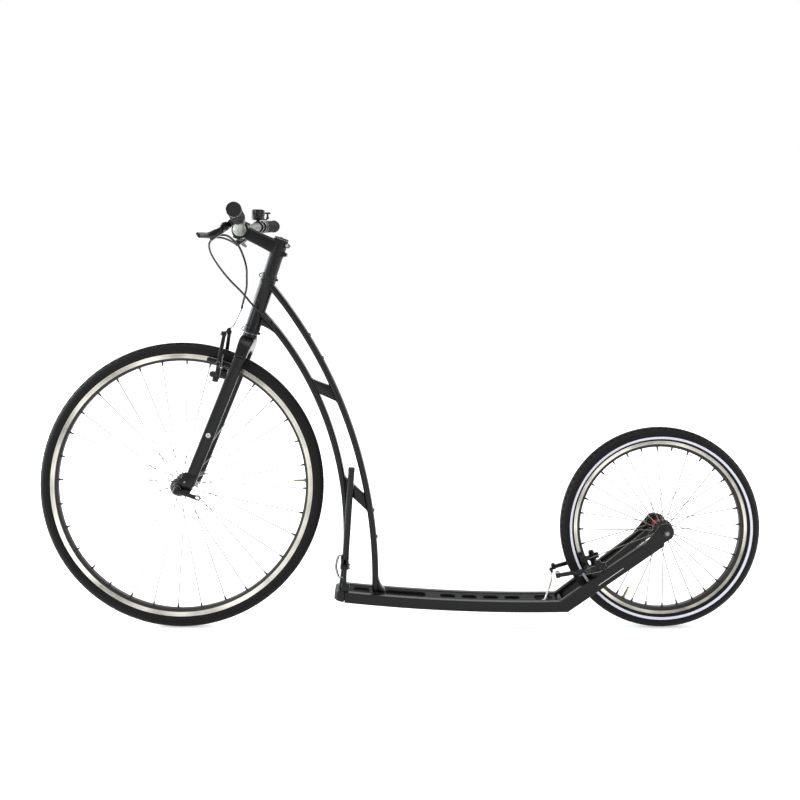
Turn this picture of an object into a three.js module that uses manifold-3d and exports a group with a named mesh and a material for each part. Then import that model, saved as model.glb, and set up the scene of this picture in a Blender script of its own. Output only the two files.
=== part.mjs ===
import * as THREE from "three";
import { mergeVertices, toCreasedNormals } from "three/addons/utils/BufferGeometryUtils.js";
import Module from "manifold-3d";

const wasm = await Module();
wasm.setup();

// A kick bike: large front wheel, small rear wheel and a low deck between them.
// Millimetres, +Z up, +X to the rear, -Y the rider's left. The origin lies on the ground at mid length.

const degree = Math.PI / 180;
const turn = Math.PI * 2;

// Fits shared by all pieces
const gap = 0.3;
const running = 0.5;
const overrun = 4;
const edge = 1.5;
const crease = 0.6;

// Overall layout
const wheelbase = 1155;
const headTilt = 18.2 * degree;
const rake = 43;

// Wheels: what both share, then each one's own sizes
const spokeCount = 32;
const spokeRadius = 1;
const spokeSides = 3;
const nipple = { radius: 2.2, length: 11, offset: 3 };
const hub = {
  overLocknuts: 100,
  flangeSpread: 30,
  flangeWall: 4,
  spokeCircle: 18.5,
  shellRadius: 13,
  neckRadius: 16,
  capRadius: 9.5,
  axleRadius: 5,
  segments: 16,
};
const rim = { width: 22, flangeWall: 1.8, flangeHeight: 6, bedRadiusDrop: 11 };
const bead = { wall: 3.6, casing: 3.2 };
const valve = { radius: 3, capRadius: 2.2, length: 30, capLength: 9 };
const frontWheel = {
  rimRadius: 317,
  tyreHeight: 26,
  tyreWidth: 32,
  trackHeight: 11,
  rimDepth: 18,
  flangeRadius: 22,
  firstSpoke: 9.2 * degree,
  valveAngle: 1.8 * degree,
  segments: 44,
};
const rearWheel = {
  rimRadius: 209,
  tyreHeight: 32,
  tyreWidth: 38,
  trackHeight: 8,
  rimDepth: 16,
  flangeRadius: 24,
  firstSpoke: 1.7 * degree,
  valveAngle: -117 * degree,
  segments: 36,
};

frontWheel.tyreRadius = frontWheel.rimRadius + frontWheel.tyreHeight;
rearWheel.tyreRadius = rearWheel.rimRadius + rearWheel.tyreHeight;

const frontAxleX = frontWheel.tyreRadius - (frontWheel.tyreRadius + wheelbase + rearWheel.tyreRadius) / 2;
const rearAxleX = frontAxleX + wheelbase;
const frontAxleZ = frontWheel.tyreRadius;
const rearAxleZ = rearWheel.tyreRadius;
const frontTyreRear = frontAxleX + frontWheel.tyreRadius;

// Steering column, heights measured along the steering axis from the foot of the rake
const steerer = { radius: 14.3, bore: 11.8, recess: 1.9, floorRise: 9, sides: 16 };
const headTube = { radius: 18.5, bore: 16, lipRadius: 19.5, lip: 7, seat: 2, length: 123, segments: 20 };
const cup = { radius: 19.2, waist: 17.6, height: 9, upperHeight: 17, eyeRadius: 4.5, eyeWire: 1.1, lug: 6 };
const spacer = { radius: 17, lowerHeight: 27, upperHeight: 17.5 };
const stem = {
  clampRadius: 18,
  clampHeight: 43,
  reach: 100,
  rise: 7 * degree,
  bodyWidth: 31,
  bodyHeightRear: 36,
  bodyHeightFront: 32,
  barClampWidth: 44,
  barClampWall: 4.6,
  boltRadius: 5.6,
  boltSpacing: 22,
  boltLength: 26,
  boltSetback: 19,
};
const cap = { radius: 17.2, height: 4, boltRadius: 5, boltHeight: 2.5 };

// Handlebar: a low riser whose ends sweep back and up a little
const bar = {
  clampRadius: 15.9,
  radius: 11.1,
  flat: 26,
  taperEnd: 62,
  bendStart: 22,
  bendEnd: 130,
  halfWidth: 308,
  setback: 12,
  rise: 19.7,
  sweep: 4.6 * degree,
  upsweep: 5.6 * degree,
  sides: 12,
};
const grip = { start: 186, pastBar: 4, bodyRadius: 15.8, endWall: 3, capRadius: 16.7, capWidth: 6 };
grip.end = bar.halfWidth + grip.pastBar;
const perch = {
  place: 173,
  ringRadius: 15.5,
  ringWidth: 12,
  pivotReach: 34,
  pivotOut: 4,
  jawRadius: 9.5,
  jawHeight: 15,
  slot: 6.6,
  slotFloor: -4,
  pinRadius: 2.4,
  armDepth: 18,
  armReach: 78,
  barrelRadius: 4.6,
  barrelLength: 17,
  barrelReach: 71,
  barrelIn: -24,
};
const lever = { drop: 34.5 * degree, thickness: 8, height: 13, tongue: 5.8, reach: 91, length: 112, endRadius: 5.5 };
const bell = {
  place: 140,
  ringWall: 3.5,
  ringWidth: 10,
  radius: 17.5,
  height: 22,
  lift: 23,
  stalkRadius: 5,
  crown: 2.5,
  armReach: 30,
  armRadius: 3,
};
const striker = { radius: 2, height: 16, headLength: 12, headRadius: 1.8, footLift: 5 };

// Fork
const fork = {
  bladeDepth: 29,
  bladeWidth: 20,
  bladeSpread: 45,
  bladeSplay: 3.7 * degree,
  crownSink: 3,
  crossRise: 9,
  bladeBottom: 15,
  crownHeight: 58,
  crownRadius: 18,
  archRise: 17,
  endPlate: 5,
  endRadius: 12,
  endDrop: 10,
  collar: 7,
};

// Heights that follow from the front wheel: fork crown just over the tyre, head tube on the crown
fork.bladeTop = frontWheel.tyreRadius - fork.crownSink;
fork.axisCross = fork.bladeTop + fork.crossRise;
fork.crownTop = fork.bladeTop + fork.crownHeight;
steerer.floor = fork.crownTop + steerer.floorRise;
headTube.bottom = fork.crownTop + cup.height + headTube.seat;
headTube.top = headTube.bottom + headTube.length;

const skewer = { rodRadius: 2.5, seatRadius: 9, nutLength: 9, housingLength: 8.5 };
const quickRelease = { camRadius: 6, camHeight: 14, length: 62, width: 11, thickness: 4.5, bow: 5, eyeRadius: 3 };

// Frame arcs, each bowed to the rear. A foot is measured from the rear edge of the front tyre, a head
// down from the head tube's top and back from its axis. The rear one bows by a share of the front one's bow.
const arcSection = { depth: 15.3, width: 32, corner: 6.5 };
const rearArc = { footClear: 124.14, bowShare: 0.85, headDrop: 4.66, headBack: 5.18, steps: 14 };
const frontArc = { footClear: 43.01, radius: 783, headDrop: 70.18, headBack: -2.23, steps: 12 };
const gusset = { drop: 19, reach: 42, width: 20 };
const footFlare = { reach: 16, height: 38, width: 24 };
// Places on an arc are shares of its rise from foot to head.
const bridge = { width: 22, upperFront: 0.7483, upperRear: 0.6673, lowerFront: 0.3975, lowerRear: 0.3129 };
const bridgeDrop = { upperFront: 36, upperRear: 38, lowerFront: 37, lowerRear: 39 };
const bottle = { spacing: 64, radius: 5, standOff: 2.5, upper: 0.7535, lower: 0.1741 };

// Deck: rails and plate follow one shallow arc
const deck = {
  lowSetback: 318.5,
  lowZ: 58,
  radius: 4190,
  railHeight: 25,
  railWidth: 14,
  halfWidth: 40,
  frontClear: 52.5,
  cornerSetback: 226.5,
  cornerZ: 47.8,
  plateWall: 3,
  plateDrop: 2,
  plateInset: 10,
  plateTail: 25,
  arcSteps: 8,
  plateHalfWidth: 25.7,
};
deck.front = frontTyreRear + deck.frontClear;
deck.lowX = rearAxleX - deck.lowSetback;
deck.cornerX = rearAxleX - deck.cornerSetback;
deck.plateFront = deck.front + deck.plateInset;
deck.plateRear = deck.cornerX - deck.plateTail;
const nose = { gap: 1.2, tipReach: 26, shoulderReach: 18, tipHalfWidth: 18, shoulderHalfWidth: 31 };
// Slots in the plate: places and lengths as shares of it, but the last lets the rear brake's cable up
const frontSlot = { fromShare: 0.0181, runShare: 0.0783, halfWidth: 15 };
const longSlot = { fromShare: 0.1747, runShare: 0.1928, halfWidth: 17 };
const rowSlot = { fromShare: 0.4398, runShare: 0.0723, stepShare: 0.1044, halfWidth: 12, count: 4 };
const rearSlot = { rearReach: 51, length: 42, halfWidth: 16 };

// Stays: a box each side, splayed out to the rear axle
const stay = { height: 31, width: 14, endWidth: 14, splay: 16, axleClear: 12.5 };
// The stays rise from the deck's rear corner to pass a stay's height under the axle.
stay.slope = Math.atan2(rearAxleZ - stay.height - deck.cornerZ, rearAxleX - deck.cornerX);
const axlePlate = { wall: 6, headRadius: 20, footReach: 62 };
const stayBridge = { wall: 12, inset: 3 };
const rearAxle = { nutRadius: 8.7, nutHeight: 8, washerRadius: 10.5, washerWall: 1.6, tail: 4 };

// Rim brakes, one on the fork and one on the stays
const brake = {
  studSpread: 40,
  studRadius: 4,
  baseRadius: 6.8,
  headRadius: 6.2,
  headHeight: 3.5,
  eyeRadius: 8,
  eyeFront: -7.5,
  eyeBack: 6,
  armTop: 99,
  armTopSpread: 33,
  armBow: 43,
  armWidth: 10,
  armTopWidth: 8,
  armDepth: 10,
  padClear: 2,
  padDrop: 1,
  padWall: 10,
  padHeight: 9,
  padLength: 68,
  postRadius: 3,
  nutRadius: 5.5,
  nutHeight: 5,
};
const frontBrake = { angle: 0.8 * degree, belowRim: 33, lean: -8.8 * degree, baseLength: 24 };
const rearBrake = { overStay: 13.19, belowRim: 32.04, lead: 67.393 * degree, baseLength: 26 };
frontBrake.radius = frontWheel.rimRadius - frontBrake.belowRim;
rearBrake.radius = rearWheel.rimRadius - rearBrake.belowRim;
rearBrake.lean = -stay.slope - rearBrake.lead;

// Kickstand, folded up beside the front arc
const stand = {
  y: -30,
  pivotRise: 58.63,
  legRadius: 7.7,
  legLength: 236,
  lean: 3.9 * degree,
  earLength: 18,
  earWall: 5,
  lugWall: 8,
  lugWidth: 12,
  boltRadius: 3.8,
  boltHead: 6.5,
  boltHeadHeight: 4,
  footRadius: 9,
  footHeight: 22,
};
const standBase = { depth: 18, width: 13, height: 20 };
const standSpring = {
  coilRadius: 2.5,
  wire: 0.8,
  curls: 12,
  bow: 8,
  topRise: 26,
  bottomDrop: 26,
  standOff: 15.2,
  pinRadius: 1.6,
};

// Cords and the tubes that lead them
const cord = { radius: 2.5, sides: 8 };
const deckCable = { start: 14, joint: 0.5 };
const noodle = { radius: 2.4, sides: 8 };
const entry = { radius: 4, length: 9, belowHead: 56.67, offset: 3.95 };

// Materials
function paint(color, roughness, metalness) {
  return new THREE.MeshStandardMaterial({ color, roughness, metalness });
}
const satinBlack = paint(0x1b1d21, 0.42, 0.1);
const stemBlack = paint(0x16171a, 0.5, 0.1);
const rubberBlack = paint(0x151516, 0.85, 0);
const gripBlack = paint(0x1d1d20, 0.8, 0);
const silver = paint(0xb9b8b4, 0.35, 0.9);
const spokeSteel = paint(0x9a978f, 0.3, 0.9);
const rimAlloy = paint(0xc9c6be, 0.35, 0.9);
const brakeBlack = paint(0x101113, 0.4, 0.3);
const brassy = paint(0xa08a4a, 0.35, 0.9);
const chromed = paint(0xd5d5d2, 0.15, 1);
const hubRed = paint(0xa3241f, 0.3, 0.6);

// Closed solids from three.js geometries

// Turns a closed geometry into a solid whose faces point out.
function solidOf(geometry) {
  const bare = new THREE.BufferGeometry();
  bare.setAttribute("position", geometry.getAttribute("position"));
  if (geometry.index) bare.setIndex(geometry.index);
  const merged = mergeVertices(bare, 1e-3);
  const kept = [];
  const index = merged.index.array;
  for (let i = 0; i < index.length; i += 3) {
    const [a, b, c] = [index[i], index[i + 1], index[i + 2]];
    if (a !== b && b !== c && c !== a) kept.push(a, b, c);
  }
  const vertProperties = new Float32Array(merged.getAttribute("position").array);
  if (enclosed(vertProperties, kept) < 0) {
    for (let i = 0; i < kept.length; i += 3) [kept[i + 1], kept[i + 2]] = [kept[i + 2], kept[i + 1]];
  }
  return new wasm.Manifold(new wasm.Mesh({ numProp: 3, vertProperties, triVerts: new Uint32Array(kept) }));
}

// Six times the volume inside a closed skin, negative when its faces point in.
function enclosed(points, index) {
  const corner = (i) => new THREE.Vector3().fromArray(points, index[i] * 3);
  let sum = 0;
  for (let i = 0; i < index.length; i += 3) sum += corner(i).dot(corner(i + 1).cross(corner(i + 2)));
  return sum;
}

// The same solid in another place, leaned or mirrored.
function moved(solid, matrix) {
  const made = solid.getMesh();
  const geometry = new THREE.BufferGeometry();
  geometry.setAttribute("position", new THREE.BufferAttribute(new Float32Array(made.vertProperties), 3));
  geometry.setIndex(new THREE.BufferAttribute(new Uint32Array(made.triVerts), 1));
  return solidOf(geometry.applyMatrix4(matrix));
}

function sided(side) {
  return new THREE.Matrix4().makeScale(1, side, 1);
}

function placeOf(group) {
  group.updateMatrix();
  return group.matrix;
}

function joined(...solids) {
  return solids.slice(1).reduce((whole, next) => whole.add(next), solids[0]);
}

// A solid as a mesh with soft normals within its rounded stretches.
function meshOf(name, solid, material) {
  const made = solid.getMesh();
  const points = new Float32Array(made.numVert * 3);
  for (let i = 0; i < made.numVert; i += 1) {
    points.set(made.vertProperties.subarray(i * made.numProp, i * made.numProp + 3), i * 3);
  }
  const geometry = new THREE.BufferGeometry();
  geometry.setAttribute("position", new THREE.BufferAttribute(points, 3));
  geometry.setIndex(new THREE.BufferAttribute(new Uint32Array(made.triVerts), 1));
  const mesh = new THREE.Mesh(toCreasedNormals(geometry, crease), material);
  mesh.name = name;
  return mesh;
}

// A turned piece about the Y axis; its profile holds [radius, y] pairs of a closed outline.
function turned(profile, segments, closed = true) {
  const points = profile.map(([radius, y]) => new THREE.Vector2(radius, y));
  if (closed) points.push(points[0].clone());
  return solidOf(new THREE.LatheGeometry(points, segments));
}

// A round bar from one point to another, its facets around the given radius.
function rod(from, to, radius, sides, outside = false) {
  const along = new THREE.Vector3().subVectors(to, from);
  const size = outside ? radius / Math.cos(Math.PI / sides) : radius;
  const geometry = new THREE.CylinderGeometry(size, size, along.length(), sides);
  geometry.rotateX(Math.PI / 2);
  const matrix = new THREE.Matrix4().lookAt(to, from, crossUp(along));
  matrix.setPosition(new THREE.Vector3().addVectors(from, to).multiplyScalar(0.5));
  return solidOf(geometry.applyMatrix4(matrix));
}

function crossUp(along) {
  const upright = Math.abs(along.y) < 0.9 * along.length();
  return upright ? new THREE.Vector3(0, 1, 0) : new THREE.Vector3(0, 0, 1);
}

// Joins rings of equal count into one closed skin.
function skinned(rings) {
  const count = rings[0].length;
  const points = rings.flat().flatMap((p) => [p.x, p.y, p.z]);
  const index = [];
  for (let r = 0; r + 1 < rings.length; r += 1) {
    for (let k = 0; k < count; k += 1) {
      const a = r * count + k;
      const b = r * count + ((k + 1) % count);
      index.push(a, b, b + count, a, b + count, a + count);
    }
  }
  const last = (rings.length - 1) * count;
  for (let k = 1; k + 1 < count; k += 1) {
    index.push(0, k + 1, k);
    index.push(last, last + k, last + k + 1);
  }
  const geometry = new THREE.BufferGeometry();
  geometry.setAttribute("position", new THREE.Float32BufferAttribute(points, 3));
  geometry.setIndex(index);
  return solidOf(geometry);
}

function ringAt(centre, across, up, radius, sides) {
  const ring = [];
  for (let k = 0; k < sides; k += 1) {
    const angle = (turn * k) / sides;
    ring.push(
      centre
        .clone()
        .addScaledVector(across, Math.cos(angle) * radius)
        .addScaledVector(up, Math.sin(angle) * radius),
    );
  }
  return ring;
}

// A cord's tube along its route.
function cordTube(route, radius, sides, steps) {
  const curve = new THREE.CatmullRomCurve3(route.map(([x, y, z]) => new THREE.Vector3(x, y, z)));
  const section = new THREE.Shape();
  for (let k = 0; k < sides; k += 1) {
    const angle = (turn * k) / sides;
    if (k === 0) section.moveTo(radius, 0);
    else section.lineTo(Math.cos(angle) * radius, Math.sin(angle) * radius);
  }
  return solidOf(new THREE.ExtrudeGeometry(section, { steps, extrudePath: curve, bevelEnabled: false }));
}

// A flat outline in X and Z given a width along Y, centred on Y = 0 unless a start is given.
function sidePlate(shape, width, bevel = 0, start = -width / 2, curveSegments = 6) {
  const geometry = new THREE.ExtrudeGeometry(shape, {
    depth: width - 2 * bevel,
    bevelEnabled: bevel > 0,
    bevelThickness: bevel,
    bevelSize: bevel,
    bevelOffset: -bevel,
    bevelSegments: 1,
    curveSegments,
  });
  geometry.translate(0, 0, bevel);
  geometry.rotateX(Math.PI / 2);
  geometry.translate(0, start + width, 0);
  return solidOf(geometry);
}

function outline(points) {
  return new THREE.Shape(points.map(([x, z]) => new THREE.Vector2(x, z)));
}

function roundedBox(width, height, corner) {
  const shape = new THREE.Shape();
  const [w, h] = [width / 2, height / 2];
  shape.moveTo(-w + corner, -h);
  shape.lineTo(w - corner, -h);
  shape.quadraticCurveTo(w, -h, w, -h + corner);
  shape.lineTo(w, h - corner);
  shape.quadraticCurveTo(w, h, w - corner, h);
  shape.lineTo(-w + corner, h);
  shape.quadraticCurveTo(-w, h, -w, h - corner);
  shape.lineTo(-w, -h + corner);
  shape.quadraticCurveTo(-w, -h, -w + corner, -h);
  return shape;
}

function vec(x, y, z) {
  return new THREE.Vector3(x, y, z);
}

// Places of the steering column in the bike's frame
const columnFoot = vec(frontAxleX + rake * Math.cos(headTilt), 0, frontAxleZ - rake * Math.sin(headTilt));
const columnUp = vec(Math.sin(headTilt), 0, Math.cos(headTilt));
const columnBack = vec(Math.cos(headTilt), 0, -Math.sin(headTilt));

function columnPoint(height) {
  return columnFoot.clone().addScaledVector(columnUp, height);
}

function columnGroup() {
  const group = new THREE.Group();
  group.position.copy(columnFoot);
  group.rotation.y = headTilt;
  return group;
}

const bike = new THREE.Group();
const head = columnGroup();
const steering = columnGroup();
bike.add(head, steering);

// Deck curve

function deckHeight(x) {
  return deck.lowZ + deck.radius - Math.sqrt(deck.radius ** 2 - (x - deck.lowX) ** 2);
}

// A strip that follows the deck's arc between two heights above its middle line.
function deckStrip(from, to, low, high, steps) {
  const points = [];
  for (let i = 0; i <= steps; i += 1) {
    const x = from.low + ((to.low - from.low) * i) / steps;
    points.push([x, deckHeight(x) + low]);
  }
  for (let i = steps; i >= 0; i -= 1) {
    const x = from.high + ((to.high - from.high) * i) / steps;
    points.push([x, deckHeight(x) + high]);
  }
  return outline(points);
}

const railHalf = deck.railHeight / 2;
const staySide = vec(Math.cos(stay.slope), 0, Math.sin(stay.slope));
const stayNormal = vec(-Math.sin(stay.slope), 0, Math.cos(stay.slope));
const corner = vec(deck.cornerX, 0, deck.cornerZ);

// The rear brake turns on studs a little above the stays, at its own distance from the axle.
const rearAxlePoint = vec(rearAxleX, 0, rearAxleZ);
rearBrake.rise = stay.height + rearBrake.overStay - rearAxlePoint.clone().sub(corner).dot(stayNormal);
rearBrake.along = -Math.sqrt(rearBrake.radius ** 2 - rearBrake.rise ** 2);
const rearBrakePoint = alongStay(rearAxlePoint, rearBrake.along, 0, rearBrake.rise);

// A point by the stays: so far back along them, aside, and above them.
function alongStay(from, back, aside, above) {
  return from.clone().addScaledVector(staySide, back).addScaledVector(stayNormal, above).setY(aside);
}

// The upper corner of the mitre, where the rail's top meets the stay's top.
function mitreTop() {
  const topOfRail = deckHeight(deck.cornerX) + railHalf;
  const lifted = corner.clone().addScaledVector(stayNormal, stay.height);
  return lifted.addScaledVector(staySide, (topOfRail - lifted.z) / staySide.z);
}
const mitre = mitreTop();

function makeRails() {
  const shape = deckStrip(
    { low: deck.front, high: deck.front },
    { low: deck.cornerX - gap, high: mitre.x - gap },
    -railHalf,
    railHalf,
    deck.arcSteps,
  );
  const rail = sidePlate(shape, deck.railWidth, edge, deck.halfWidth - deck.railWidth);
  for (const side of [-1, 1]) {
    const mesh = meshOf(side < 0 ? "left_deck_rail" : "right_deck_rail", rail, satinBlack);
    mesh.scale.y = side;
    bike.add(mesh);
  }
}

// A slot right through the plate between two places along it.
function deckSlot(from, to, halfWidth) {
  const shape = roundedBox(to - from, 2 * halfWidth, halfWidth / 2);
  const geometry = new THREE.ExtrudeGeometry(shape, { depth: deck.railHeight * 2, bevelEnabled: false, curveSegments: 2 });
  geometry.translate((from + to) / 2, 0, deckHeight((from + to) / 2) - deck.railHeight);
  return solidOf(geometry);
}

function makeDeckPlate() {
  const top = railHalf - deck.plateDrop;
  const shape = deckStrip(
    { low: deck.plateFront, high: deck.plateFront },
    { low: deck.plateRear, high: deck.plateRear },
    top - deck.plateWall,
    top,
    deck.arcSteps,
  );
  let plate = sidePlate(shape, 2 * deck.plateHalfWidth);
  const run = deck.plateRear - deck.plateFront;
  const shared = (slot, step = 0) => {
    const from = deck.plateFront + (slot.fromShare + step) * run;
    return deckSlot(from, from + slot.runShare * run, slot.halfWidth);
  };
  const last = deck.plateRear - rearSlot.rearReach;
  const slots = [shared(frontSlot), shared(longSlot), deckSlot(last, last + rearSlot.length, rearSlot.halfWidth)];
  for (let k = 0; k < rowSlot.count; k += 1) slots.push(shared(rowSlot, k * rowSlot.stepShare));
  for (const slot of slots) plate = plate.subtract(slot);
  bike.add(meshOf("deck_plate", plate, satinBlack));
}

// The nose keeps the slope that the deck has at its front.
const noseSlope = Math.atan((deck.lowX - deck.front) / deck.radius);

function makeNose() {
  const inner = deck.halfWidth - deck.railWidth - gap;
  const back = deck.plateFront - nose.gap;
  const half = [
    [back, inner],
    [deck.front - nose.gap, inner],
    [deck.front - nose.gap, deck.halfWidth],
    [deck.front - nose.shoulderReach, nose.shoulderHalfWidth],
    [deck.front - nose.tipReach, nose.tipHalfWidth],
  ];
  const mirrored = half.map(([x, y]) => [x, -y]).reverse();
  const geometry = new THREE.ExtrudeGeometry(outline([...half, ...mirrored]), {
    depth: deck.railHeight - 2 * edge,
    bevelThickness: edge,
    bevelSize: edge,
    bevelOffset: -edge,
    bevelSegments: 1,
  });
  geometry.translate(-deck.front, 0, edge - railHalf);
  geometry.rotateY(noseSlope);
  geometry.translate(deck.front, 0, deckHeight(deck.front));
  bike.add(meshOf("deck_nose", solidOf(geometry), satinBlack));
}

// Frame arcs

// Finds the centre of an arc between its foot on the deck and its head in the head tube.
function placeArc(arc, bowOf) {
  const footX = frontTyreRear + arc.footClear;
  arc.footZ = deckHeight(footX) + railHalf;
  const foot = vec(footX, 0, arc.footZ);
  const top = columnPoint(headTube.top - arc.headDrop).addScaledVector(columnBack, arc.headBack);
  const chord = new THREE.Vector3().subVectors(top, foot);
  const half = chord.length() / 2;
  if (bowOf) arc.radius = (half ** 2 / (bowOf.bow * arc.bowShare) + bowOf.bow * arc.bowShare) / 2;
  const inward = vec(-chord.z, 0, chord.x).normalize();
  const away = Math.sqrt(arc.radius ** 2 - half ** 2);
  arc.bow = arc.radius - away;
  const centre = foot.addScaledVector(chord, 0.5).addScaledVector(inward, away);
  arc.x = centre.x;
  arc.z = centre.z;
  arc.head = Math.atan2(top.z - centre.z, top.x - centre.x);
}
placeArc(frontArc);
placeArc(rearArc, frontArc);

function arcPoint(arc, angle, offset = 0) {
  const radius = arc.radius + offset;
  return vec(arc.x + radius * Math.cos(angle), 0, arc.z + radius * Math.sin(angle));
}

// The height at a share of the way up from an arc's foot to its head.
function riseOn(arc, share) {
  return THREE.MathUtils.lerp(arc.footZ, arcPoint(arc, arc.head).z, share);
}

function arcAngleAtHeight(arc, z, offset = 0) {
  return Math.asin((z - arc.z) / (arc.radius + offset));
}

// A flattened tube bent to the arc, from its foot on the deck to the head tube.
function arcTube(arc, footZ, overhang) {
  const foot = arcAngleAtHeight(arc, footZ) - overhang / arc.radius;
  const rings = [];
  const section = roundedBox(arcSection.depth, arcSection.width, arcSection.corner).getPoints(2);
  section.pop();
  for (let i = 0; i <= arc.steps; i += 1) {
    const angle = foot + ((arc.head - foot) * i) / arc.steps;
    rings.push(section.map((p) => arcPoint(arc, angle, p.x).setY(p.y)));
  }
  return skinned(rings);
}

function headClearance() {
  const from = columnPoint(headTube.bottom - cup.height - overrun);
  const to = columnPoint(headTube.top + cup.upperHeight + overrun);
  return rod(from, to, headTube.lipRadius + gap, headTube.segments, true);
}

// A block above the deck line, used to leave only what stands on the deck.
function underDeck(from, to, height) {
  const shape = deckStrip({ low: from, high: from }, { low: to, high: to }, -deck.railHeight * 4, height, 6);
  return sidePlate(shape, deck.halfWidth * 3);
}

function bottleInserts() {
  const solids = [];
  for (const share of [bottle.upper, bottle.lower]) {
    for (const rise of [0, bottle.spacing]) {
      const angle = arcAngleAtHeight(rearArc, riseOn(rearArc, share)) + rise / rearArc.radius;
      const from = arcPoint(rearArc, angle, 0);
      const to = arcPoint(rearArc, angle, arcSection.depth / 2 + bottle.standOff);
      solids.push(rod(from, to, bottle.radius, 6));
    }
  }
  return solids;
}

function makeRearArc() {
  const footZ = deckHeight(rearArc.x + rearArc.radius) + railHalf;
  const flareX = rearArc.x + rearArc.radius + arcSection.depth / 2;
  const flare = sidePlate(
    outline([
      [flareX - arcSection.depth / 2, footZ + footFlare.height],
      [flareX - arcSection.depth / 2, footZ - overrun],
      [flareX + footFlare.reach, footZ - overrun],
      [flareX + footFlare.reach, footZ + overrun / 2],
      [flareX + footFlare.reach / 4, footZ + footFlare.height / 3],
      [flareX - edge / 2, footZ + footFlare.height],
    ]),
    footFlare.width,
  );
  const tube = joined(arcTube(rearArc, footZ, overrun * 2), flare, ...bottleInserts());
  const seat = underDeck(flareX - footFlare.height, flareX + footFlare.height, railHalf - deck.plateDrop + gap);
  bike.add(meshOf("rear_arc_tube", tube.subtract(headClearance()).subtract(seat), satinBlack));
}

// The cable entry stands on the left face of the front arc, in line with the cable.
const entryAngle = frontArc.head - entry.belowHead / frontArc.radius;
const entryPoint = arcPoint(frontArc, entryAngle, entry.offset).setY(-arcSection.width / 2);
const entryDirection = vec(-0.6, -0.36, 0.72).normalize();

function makeFrontArc() {
  const footX = frontArc.x + frontArc.radius;
  const footZ = deckHeight(footX) + railHalf;
  const lower = -arcSection.depth / 2;
  const headAngle = frontArc.head - 2 * degree;
  const startAngle = headAngle - (gusset.reach + headTube.radius) / frontArc.radius;
  const middle = (headAngle + startAngle) / 2;
  const web = [
    arcPoint(frontArc, startAngle, 0),
    arcPoint(frontArc, startAngle, lower),
    arcPoint(frontArc, middle, lower - gusset.drop / 4),
    arcPoint(frontArc, headAngle, lower - gusset.drop),
    arcPoint(frontArc, headAngle, 0),
  ];
  const gussetSolid = sidePlate(outline(web.map((p) => [p.x, p.z])), gusset.width);
  const ferrule = rod(
    entryPoint.clone().addScaledVector(entryDirection, -entry.length),
    entryPoint.clone().addScaledVector(entryDirection, entry.length),
    entry.radius,
    10,
  );
  const tube = joined(arcTube(frontArc, footZ, overrun * 2), gussetSolid, ferrule);
  const seat = underDeck(footX - footFlare.height, footX + footFlare.height, railHalf + gap);
  bike.add(meshOf("front_arc_tube", tube.subtract(headClearance()).subtract(seat), satinBlack));
}

// A short flat tube between the two arcs, from given shares of the rise on each.
function makeBridge(name, frontShare, frontDrop, rearShare, rearDrop) {
  const frontHigh = riseOn(frontArc, frontShare);
  const rearHigh = riseOn(rearArc, rearShare);
  const reach = arcSection.depth / 2 + 3 * gap;
  const front = [0, 0.5, 1].map((share) => {
    return arcPoint(frontArc, arcAngleAtHeight(frontArc, frontHigh - frontDrop * share, reach), reach + gap);
  });
  const rear = [1, 0.5, 0].map((share) => {
    return arcPoint(rearArc, arcAngleAtHeight(rearArc, rearHigh - rearDrop * share, -reach), -reach);
  });
  const shape = outline([...front, ...rear].map((p) => [p.x, p.z]));
  bike.add(meshOf(name, sidePlate(shape, bridge.width, edge), satinBlack));
}

function makeHeadTube() {
  const { radius, bore, lipRadius, lip, bottom, top, segments } = headTube;
  const tube = turned(
    [
      [bore, bottom],
      [lipRadius, bottom],
      [lipRadius, bottom + lip],
      [radius, bottom + lip + edge],
      [radius, top - lip - edge],
      [lipRadius, top - lip],
      [lipRadius, top],
      [bore, top],
    ],
    segments,
  );
  head.add(upright(meshOf("head_tube", tube, satinBlack)));
}

// Turned pieces are made about Y; this stands one up along Z.
function upright(mesh) {
  mesh.rotation.x = Math.PI / 2;
  return mesh;
}

// A headset cup with its ring eye in front and its lug behind.
function makeCup(name, bottom, height) {
  const bore = steerer.radius + running;
  const ring = turned(
    [
      [bore, bottom],
      [cup.waist, bottom],
      [cup.radius, bottom + edge],
      [cup.radius, bottom + height - edge],
      [cup.waist, bottom + height],
      [bore, bottom + height],
    ],
    16,
  );
  const eye = new THREE.TorusGeometry(cup.eyeRadius, cup.eyeWire, 4, 8);
  eye.translate(-cup.radius - cup.eyeRadius, bottom + height / 2, 0);
  const lug = new THREE.BoxGeometry(cup.lug + edge, cup.lug, cup.lug);
  lug.translate(cup.radius + cup.lug / 2 - edge / 2, bottom + height / 2, 0);
  head.add(upright(meshOf(name, joined(ring, solidOf(eye), solidOf(lug)), brakeBlack)));
}

// Stays with their axle plates and brake studs

function brakeFrameRear() {
  const group = new THREE.Group();
  group.position.copy(rearBrakePoint);
  group.rotation.set(0, rearBrake.lean, Math.PI);
  return group;
}

function brakeFrameFront() {
  const group = new THREE.Group();
  const reach = frontBrake.radius;
  group.position.set(-rake + reach * Math.sin(frontBrake.angle), 0, reach * Math.cos(frontBrake.angle));
  group.rotation.y = frontBrake.lean;
  return group;
}

// The stud a brake arm turns on, along X, with its bolt head outside and its base on the carrier.
function brakeStud(baseLength) {
  const { studSpread: y, eyeBack, eyeFront } = brake;
  const base = rod(vec(eyeBack + gap, y, 0), vec(eyeBack + baseLength, y, 0), brake.baseRadius, 10);
  const pin = rod(vec(eyeFront - brake.headHeight / 2, y, 0), vec(eyeBack + baseLength / 2, y, 0), brake.studRadius, 8);
  const bolt = rod(vec(eyeFront - gap, y, 0), vec(eyeFront - brake.headHeight, y, 0), brake.headRadius, 6);
  return joined(base, pin, bolt);
}

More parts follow.
